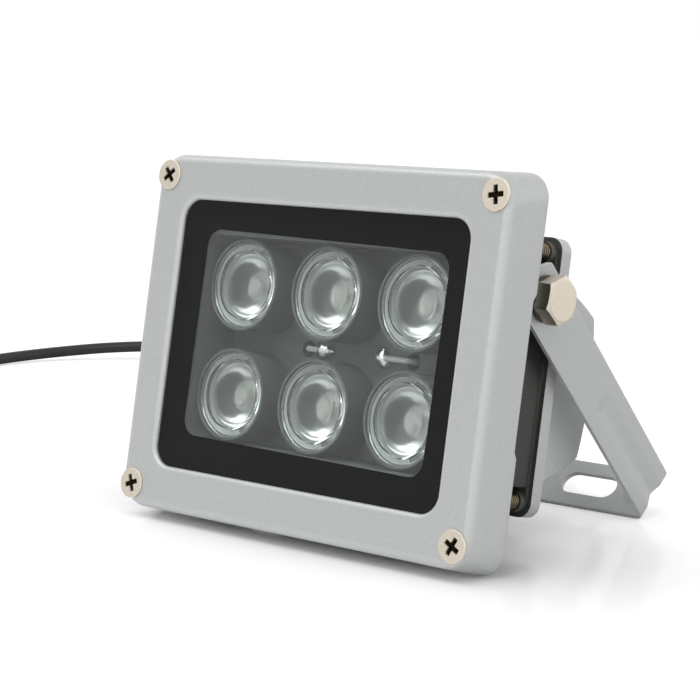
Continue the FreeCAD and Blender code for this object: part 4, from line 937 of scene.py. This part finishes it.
seat = HEAD_FRONT + HEAD_HIGH
pan = eased([(2.2, HEAD_FRONT), (PAN_RADIUS, HEAD_FRONT + 0.35), (PAN_RADIUS, seat),
             (SHANK_RADIUS, seat), (SHANK_RADIUS, THREAD_SPAN[0] - 0.1)], 0.3)
tip = turned([(SHANK_RADIUS - THREAD_DEEP, THREAD_TIP - 0.2), (0, THREAD_TIP)], 24)
for number, place in enumerate(corner_places(HOUSING_SCREW_X, HOUSING_SCREW_Z), 1):
    surface(f"housing_screw_head_{number}",
            to_frame(screw_grid(pan, math.radians(35 + 20 * number), 64) + place), zinc,
            replaces=["housing_screws"])
    thread = surface(f"housing_screw_thread_{number}",
                     to_frame(np.concatenate([thread_grid(), tip]) + place), zinc,
                     sharp=60, cap_ends=True)
    # the thread's valleys darken: painted shade
    paint_recess_shade(thread, place, lambda reach, y: (SHANK_RADIUS - 0.08 - reach) / (0.5 * THREAD_DEEP))

# %% [markdown]
# The bracket pivots on two M6 hexagon bolts with spring washers. A cone cuts the corners of a
# bolt's head, and the plating softens every edge, so the head's radius is a smooth minimum of
# the hexagon, the cone and the flat top's edge.

# %% Pivot bolts and washers
BOLT_FLATS = 10.0
BOLT_HIGH = 4.0
BOLT_SHANK = 3.0
BOLT_SHANK_LONG = 16.0
BOLT_TURN = math.radians(25 - 30)  # a corner 25 degrees above the rear
BOLT_EDGE = 0.25  # radius of the flat top's edge
BOLT_BEVEL = math.radians(30)
BOLT_SOFT = (0.07, 0.12)  # rounding between cone and sides, and at the sides' foot
LIGHTER_TOP_COSINE = 0.6  # faces that look outwards more than this are the top, painted lighter than the sides
BRACKET_HALF = 43.5
WASHER_THICK = 1.2
WASHER_MIDDLE = 4.25
WASHER_HALF_WIDE = 1.15
WASHER_SWEEP = math.radians(350)
WASHER_TURN = 1.2


def hex_radius(angle, flats):
    """Distance from a hexagon's middle to its side: (flats / 2) / cos of the angle to the side."""
    side = np.mod(angle + math.pi / 6, math.pi / 3) - math.pi / 6
    return flats / 2 / np.cos(side)


def soft_min(a, b, width):
    """Minimum of two lengths with the crossing rounded: exponential sum over the width."""
    return -width * np.log(np.exp(-a / width) + np.exp(-b / width))


def bolt_grid(columns=144):
    """Rows along the axis from the shank's end over the head to its top, as (h, radius)."""
    angle = all_round(columns)
    hexagon = hex_radius(angle, BOLT_FLATS)
    top = BOLT_FLATS / 2 - BOLT_EDGE
    rows = [(-BOLT_SHANK_LONG, 0.0), (-BOLT_SHANK_LONG, BOLT_SHANK - 0.3),
            (-BOLT_SHANK_LONG + 0.3, BOLT_SHANK), (-0.02, BOLT_SHANK), (0.0, BOLT_SHANK + 0.05),
            (0.0, 0.9 * hexagon - 0.2)]
    for h in (0.0, 0.04, 0.12, 0.3, 1.0, 2.0, 2.5, 2.8, 3.0, 3.2, 3.35, 3.5, 3.62, 3.74, 3.84,
              3.91, 3.96, 3.99):
        cone = top + (BOLT_HIGH - h) / math.tan(BOLT_BEVEL)
        foot = hexagon - BOLT_SOFT[1] * (1 - min(1, h / BOLT_SOFT[1])) ** 2
        radius = soft_min(foot, cone, BOLT_SOFT[0])
        above = (h - BOLT_HIGH + BOLT_EDGE) / BOLT_EDGE
        if above > 0:
            radius = np.minimum(radius, top - BOLT_EDGE * (1 - math.sqrt(1 - above ** 2)))
        rows.append((h, radius))
    rows += [(BOLT_HIGH, share * (BOLT_FLATS / 2 - 0.5)) for share in (0.96, 0.8, 0.4, 0.0)]
    height = np.array([row[0] for row in rows])[:, None] + 0 * angle
    radius = np.stack([row[1] + 0 * angle for row in rows])
    return np.stack([height, radius * np.cos(angle + BOLT_TURN),
                     radius * np.sin(angle + BOLT_TURN)], -1)


def washer_grid(columns=90):
    """Squarish section carried round all but a small gap: along each of its two directions the
    offset is the sign of a cosine or sine times the root of its size."""
    angle = np.linspace(0, WASHER_SWEEP, columns)[:, None] + WASHER_TURN
    corner = np.linspace(0, 2 * math.pi, 25)[:-1]
    wave = np.stack([np.cos(corner), np.sin(corner)])
    wide, high = np.sign(wave) * np.sqrt(np.abs(wave))
    r = WASHER_MIDDLE + WASHER_HALF_WIDE * wide
    return np.stack([WASHER_THICK / 2 * (1 + high) + 0 * angle, r * np.cos(angle),
                     r * np.sin(angle)], -1)


for side, name in ((1, "right"), (-1, "left")):
    seat = side * (BRACKET_HALF + WASHER_THICK)
    bolt = bolt_grid() * (side, 1, 1) + (seat, *PIVOT_ON_DRAWING[1:])
    bolt = surface(f"hexagon_bolt_{name}", to_frame(bolt), side_nickel_painted_darker,
                   replaces=[f"pivot_bolt_{name}"], sharp=60)
    # the top takes the lighter nickel and the sides the darker one: painted light and shade on one plating
    outward = np.array([face.normal.x for face in bolt.data.polygons]) * side
    second_finish(bolt, nickel, outward > LIGHTER_TOP_COSINE)
    ring = washer_grid() * (side, 1, 1) + (side * BRACKET_HALF, *PIVOT_ON_DRAWING[1:])
    surface(f"split_washer_{name}", to_frame(ring), spring_steel,
            replaces=[f"spring_washer_{name}"], cap_ends=True)

# %% [markdown]
# The bracket is one strip of 1.2 mm steel, folded to a U, with a V-shaped rib pressed into both
# bends. Its closed section, outer face, round edge, inner face, round edge, is carried along
# the folded path. The rib moves both faces inwards by a depth that falls off with the distance
# from the rib's line. Slots and holes are cut out afterwards.

# %% Bracket
LEG_REACH = 69.2
LEG_END = 7.6
SHEET = 1.2
BEND_OUTER = 2.5
END_HALF = 7.2
STRAP_HALF = 6.95
END_FLAT = 2.5
END_CUT = 3.1
SHEET_EDGE = 0.25
RIB_START = 33.6
RIB_HALF = 3.0
RIB_DEEP = 0.9
RIB_SOFT = 0.5  # radius of the V's bottom
RIB_STRAP_X = 38.3
SLOT_X = 23.8
SLOT_HALF = 4.75
SLOT_RADIUS = 3.25
STRAP_HOLE = 4.2
down_leg = np.array([m["axis"] for m in frame["record"]["mounts"] if m["name"] == "strap_face"][0])
across_leg = np.cross((1, 0, 0), down_leg)


def on_bracket(points):
    """From the bracket's own axes, X along the pivot, Y down the legs and Z across the strip."""
    return np.asarray(points) @ np.stack([(1, 0, 0), down_leg, across_leg]) * MM + pivot


def strip_path():
    """Points x, y and outward normals nx, ny of the outer face's line, from the left leg's end
    to the right one's: leg, quarter circle, strap, and then both once more as in a mirror."""
    leg = np.concatenate([-LEG_END + np.arange(0, END_CUT + 2, 0.3),
                          np.arange(-2.4, RIB_START - 4, 3.0),
                          np.arange(RIB_START - 4, LEG_REACH - BEND_OUTER, 0.4)])
    bend = np.linspace(0, math.pi / 2, 18)
    strap = np.arange(0.5, BRACKET_HALF - BEND_OUTER, 0.5)
    strap = np.concatenate([-strap[::-1], [0], strap])
    left = np.concatenate([
        [0 * leg - BRACKET_HALF, leg, 0 * leg - 1, 0 * leg],
        [-BRACKET_HALF + BEND_OUTER * (1 - np.cos(bend)),
         LEG_REACH - BEND_OUTER + BEND_OUTER * np.sin(bend), -np.cos(bend), np.sin(bend)]], 1)
    flat = [strap, 0 * strap + LEG_REACH, 0 * strap, 0 * strap + 1]
    right = left[:, ::-1] * [[-1], [1], [-1], [1]]
    return np.concatenate([left, flat, right], 1)


def rib_depth(x, y, across):
    """Depth of the pressed V: falls linearly with the distance from the rib's line, which runs
    from the leg's start point round the bend to the strap's end point, with a soft bottom."""
    on_leg = np.maximum(0, RIB_START + RIB_HALF - y)
    on_strap = np.where(y > LEG_REACH - 0.01, np.maximum(0, RIB_STRAP_X - np.abs(x)), 0)
    away = np.sqrt(across ** 2 + (on_leg + on_strap) ** 2 + RIB_SOFT ** 2)
    return np.maximum(0, RIB_DEEP * (1 - (away - RIB_SOFT) / RIB_HALF))


def bracket_grid():
    """Rows along the path, columns round the section."""
    x, y, nx, ny = strip_path()
    side = np.interp(y, (-LEG_END + END_CUT, LEG_REACH), (END_HALF, STRAP_HALF))
    cut = END_FLAT + (END_HALF - END_FLAT) / END_CUT * (y + LEG_END)
    half = soft_min(side, np.minimum(cut, 3 * END_HALF), 0.25)
    face = np.linspace(-1, 1, 41)
    turn = np.linspace(-math.pi / 2, math.pi / 2, 6)[1:-1]
    outer = (half - SHEET_EDGE)[:, None] * face
    edge = (half - SHEET_EDGE)[:, None] + SHEET_EDGE * np.cos(turn)
    z = np.concatenate([outer, edge, edge, outer[:, ::-1], -edge, -edge], 1)
    top = SHEET_EDGE * (1 + np.sin(turn))
    bottom = SHEET - SHEET_EDGE * (1 - np.sin(turn))
    deep = np.concatenate([0 * face, top, bottom, 0 * face + SHEET, bottom[::-1], top[::-1]])
    depth = deep[None, :] + rib_depth(x[:, None], y[:, None], z)
    return np.stack([x[:, None] - nx[:, None] * depth, y[:, None] - ny[:, None] * depth, z], -1)


strip = surface("folded_bracket", on_bracket(bracket_grid()), paint, body="bracket",
                replaces=["bracket"], cap_ends=True, sharp=40)


def cutters():
    """Slots, strap hole and pivot holes as closed prisms: an outline at each end."""
    quarter = np.linspace(-math.pi / 2, math.pi / 2, 13)
    end = np.stack([SLOT_HALF + SLOT_RADIUS * np.cos(quarter), SLOT_RADIUS * np.sin(quarter)], 1)
    slot_line = np.concatenate([end, -end])
    circle = np.stack([np.cos(all_round(40)), np.sin(all_round(40))], 1)
    grids = []
    for shift, line in ((-SLOT_X, slot_line), (SLOT_X, slot_line), (0, STRAP_HOLE * circle)):
        grids.append(np.stack([np.insert(line + (shift, 0), 1, h, axis=1)
                               for h in (LEG_REACH - SHEET - 2, LEG_REACH + 2)]))
    for side in (-1, 1):
        grids.append(np.stack([np.insert((BOLT_SHANK + 0.1) * circle, 0, side * h, axis=1)
                               for h in (BRACKET_HALF - 4, BRACKET_HALF + 2)]))
    return grids


cut_out(strip, [on_bracket(grid) for grid in cutters()], sharp=40)
print("the cut bracket has", len(strip.data.polygons), "faces")

# %% [markdown]
# The lead ends in a moulded plug for a round socket. Its grip has shallow rings for the
# fingers, and its relief tapers towards the cable.

# %% Plug
PLUG_RADIUS = 4.9
RELIEF_LONG = 11.0
GRIP_LONG = 18.0


def plug_profile():
    """(radius, distance): a cone, then a grip whose radius dips by a cosine six times."""
    relief = [(0, 0), (2.2, 0), (2.3, 0.4), (3.7, RELIEF_LONG - 0.2), (4.4, RELIEF_LONG)]
    along = np.linspace(0.6, GRIP_LONG - 3, 60)
    grip = PLUG_RADIUS - 0.22 * (1 - np.cos(2 * math.pi * 6 * along / (GRIP_LONG - 3)))
    end = eased([(grip[-1], RELIEF_LONG + GRIP_LONG - 3), (PLUG_RADIUS, RELIEF_LONG + GRIP_LONG),
                 (0, RELIEF_LONG + GRIP_LONG)], 0.6)
    return np.concatenate([relief, np.stack([grip, along + RELIEF_LONG], 1), end[1:]])


low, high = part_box("plug_body")
plug = turned(plug_profile(), 48)
plug_grid = np.stack([high.x - plug[..., 1] * MM, (low.y + high.y) / 2 + plug[..., 0] * MM,
                      (low.z + high.z) / 2 + plug[..., 2] * MM], -1)
plug_grip = surface("plug_grip", plug_grid, nylon, replaces=["plug_body"])
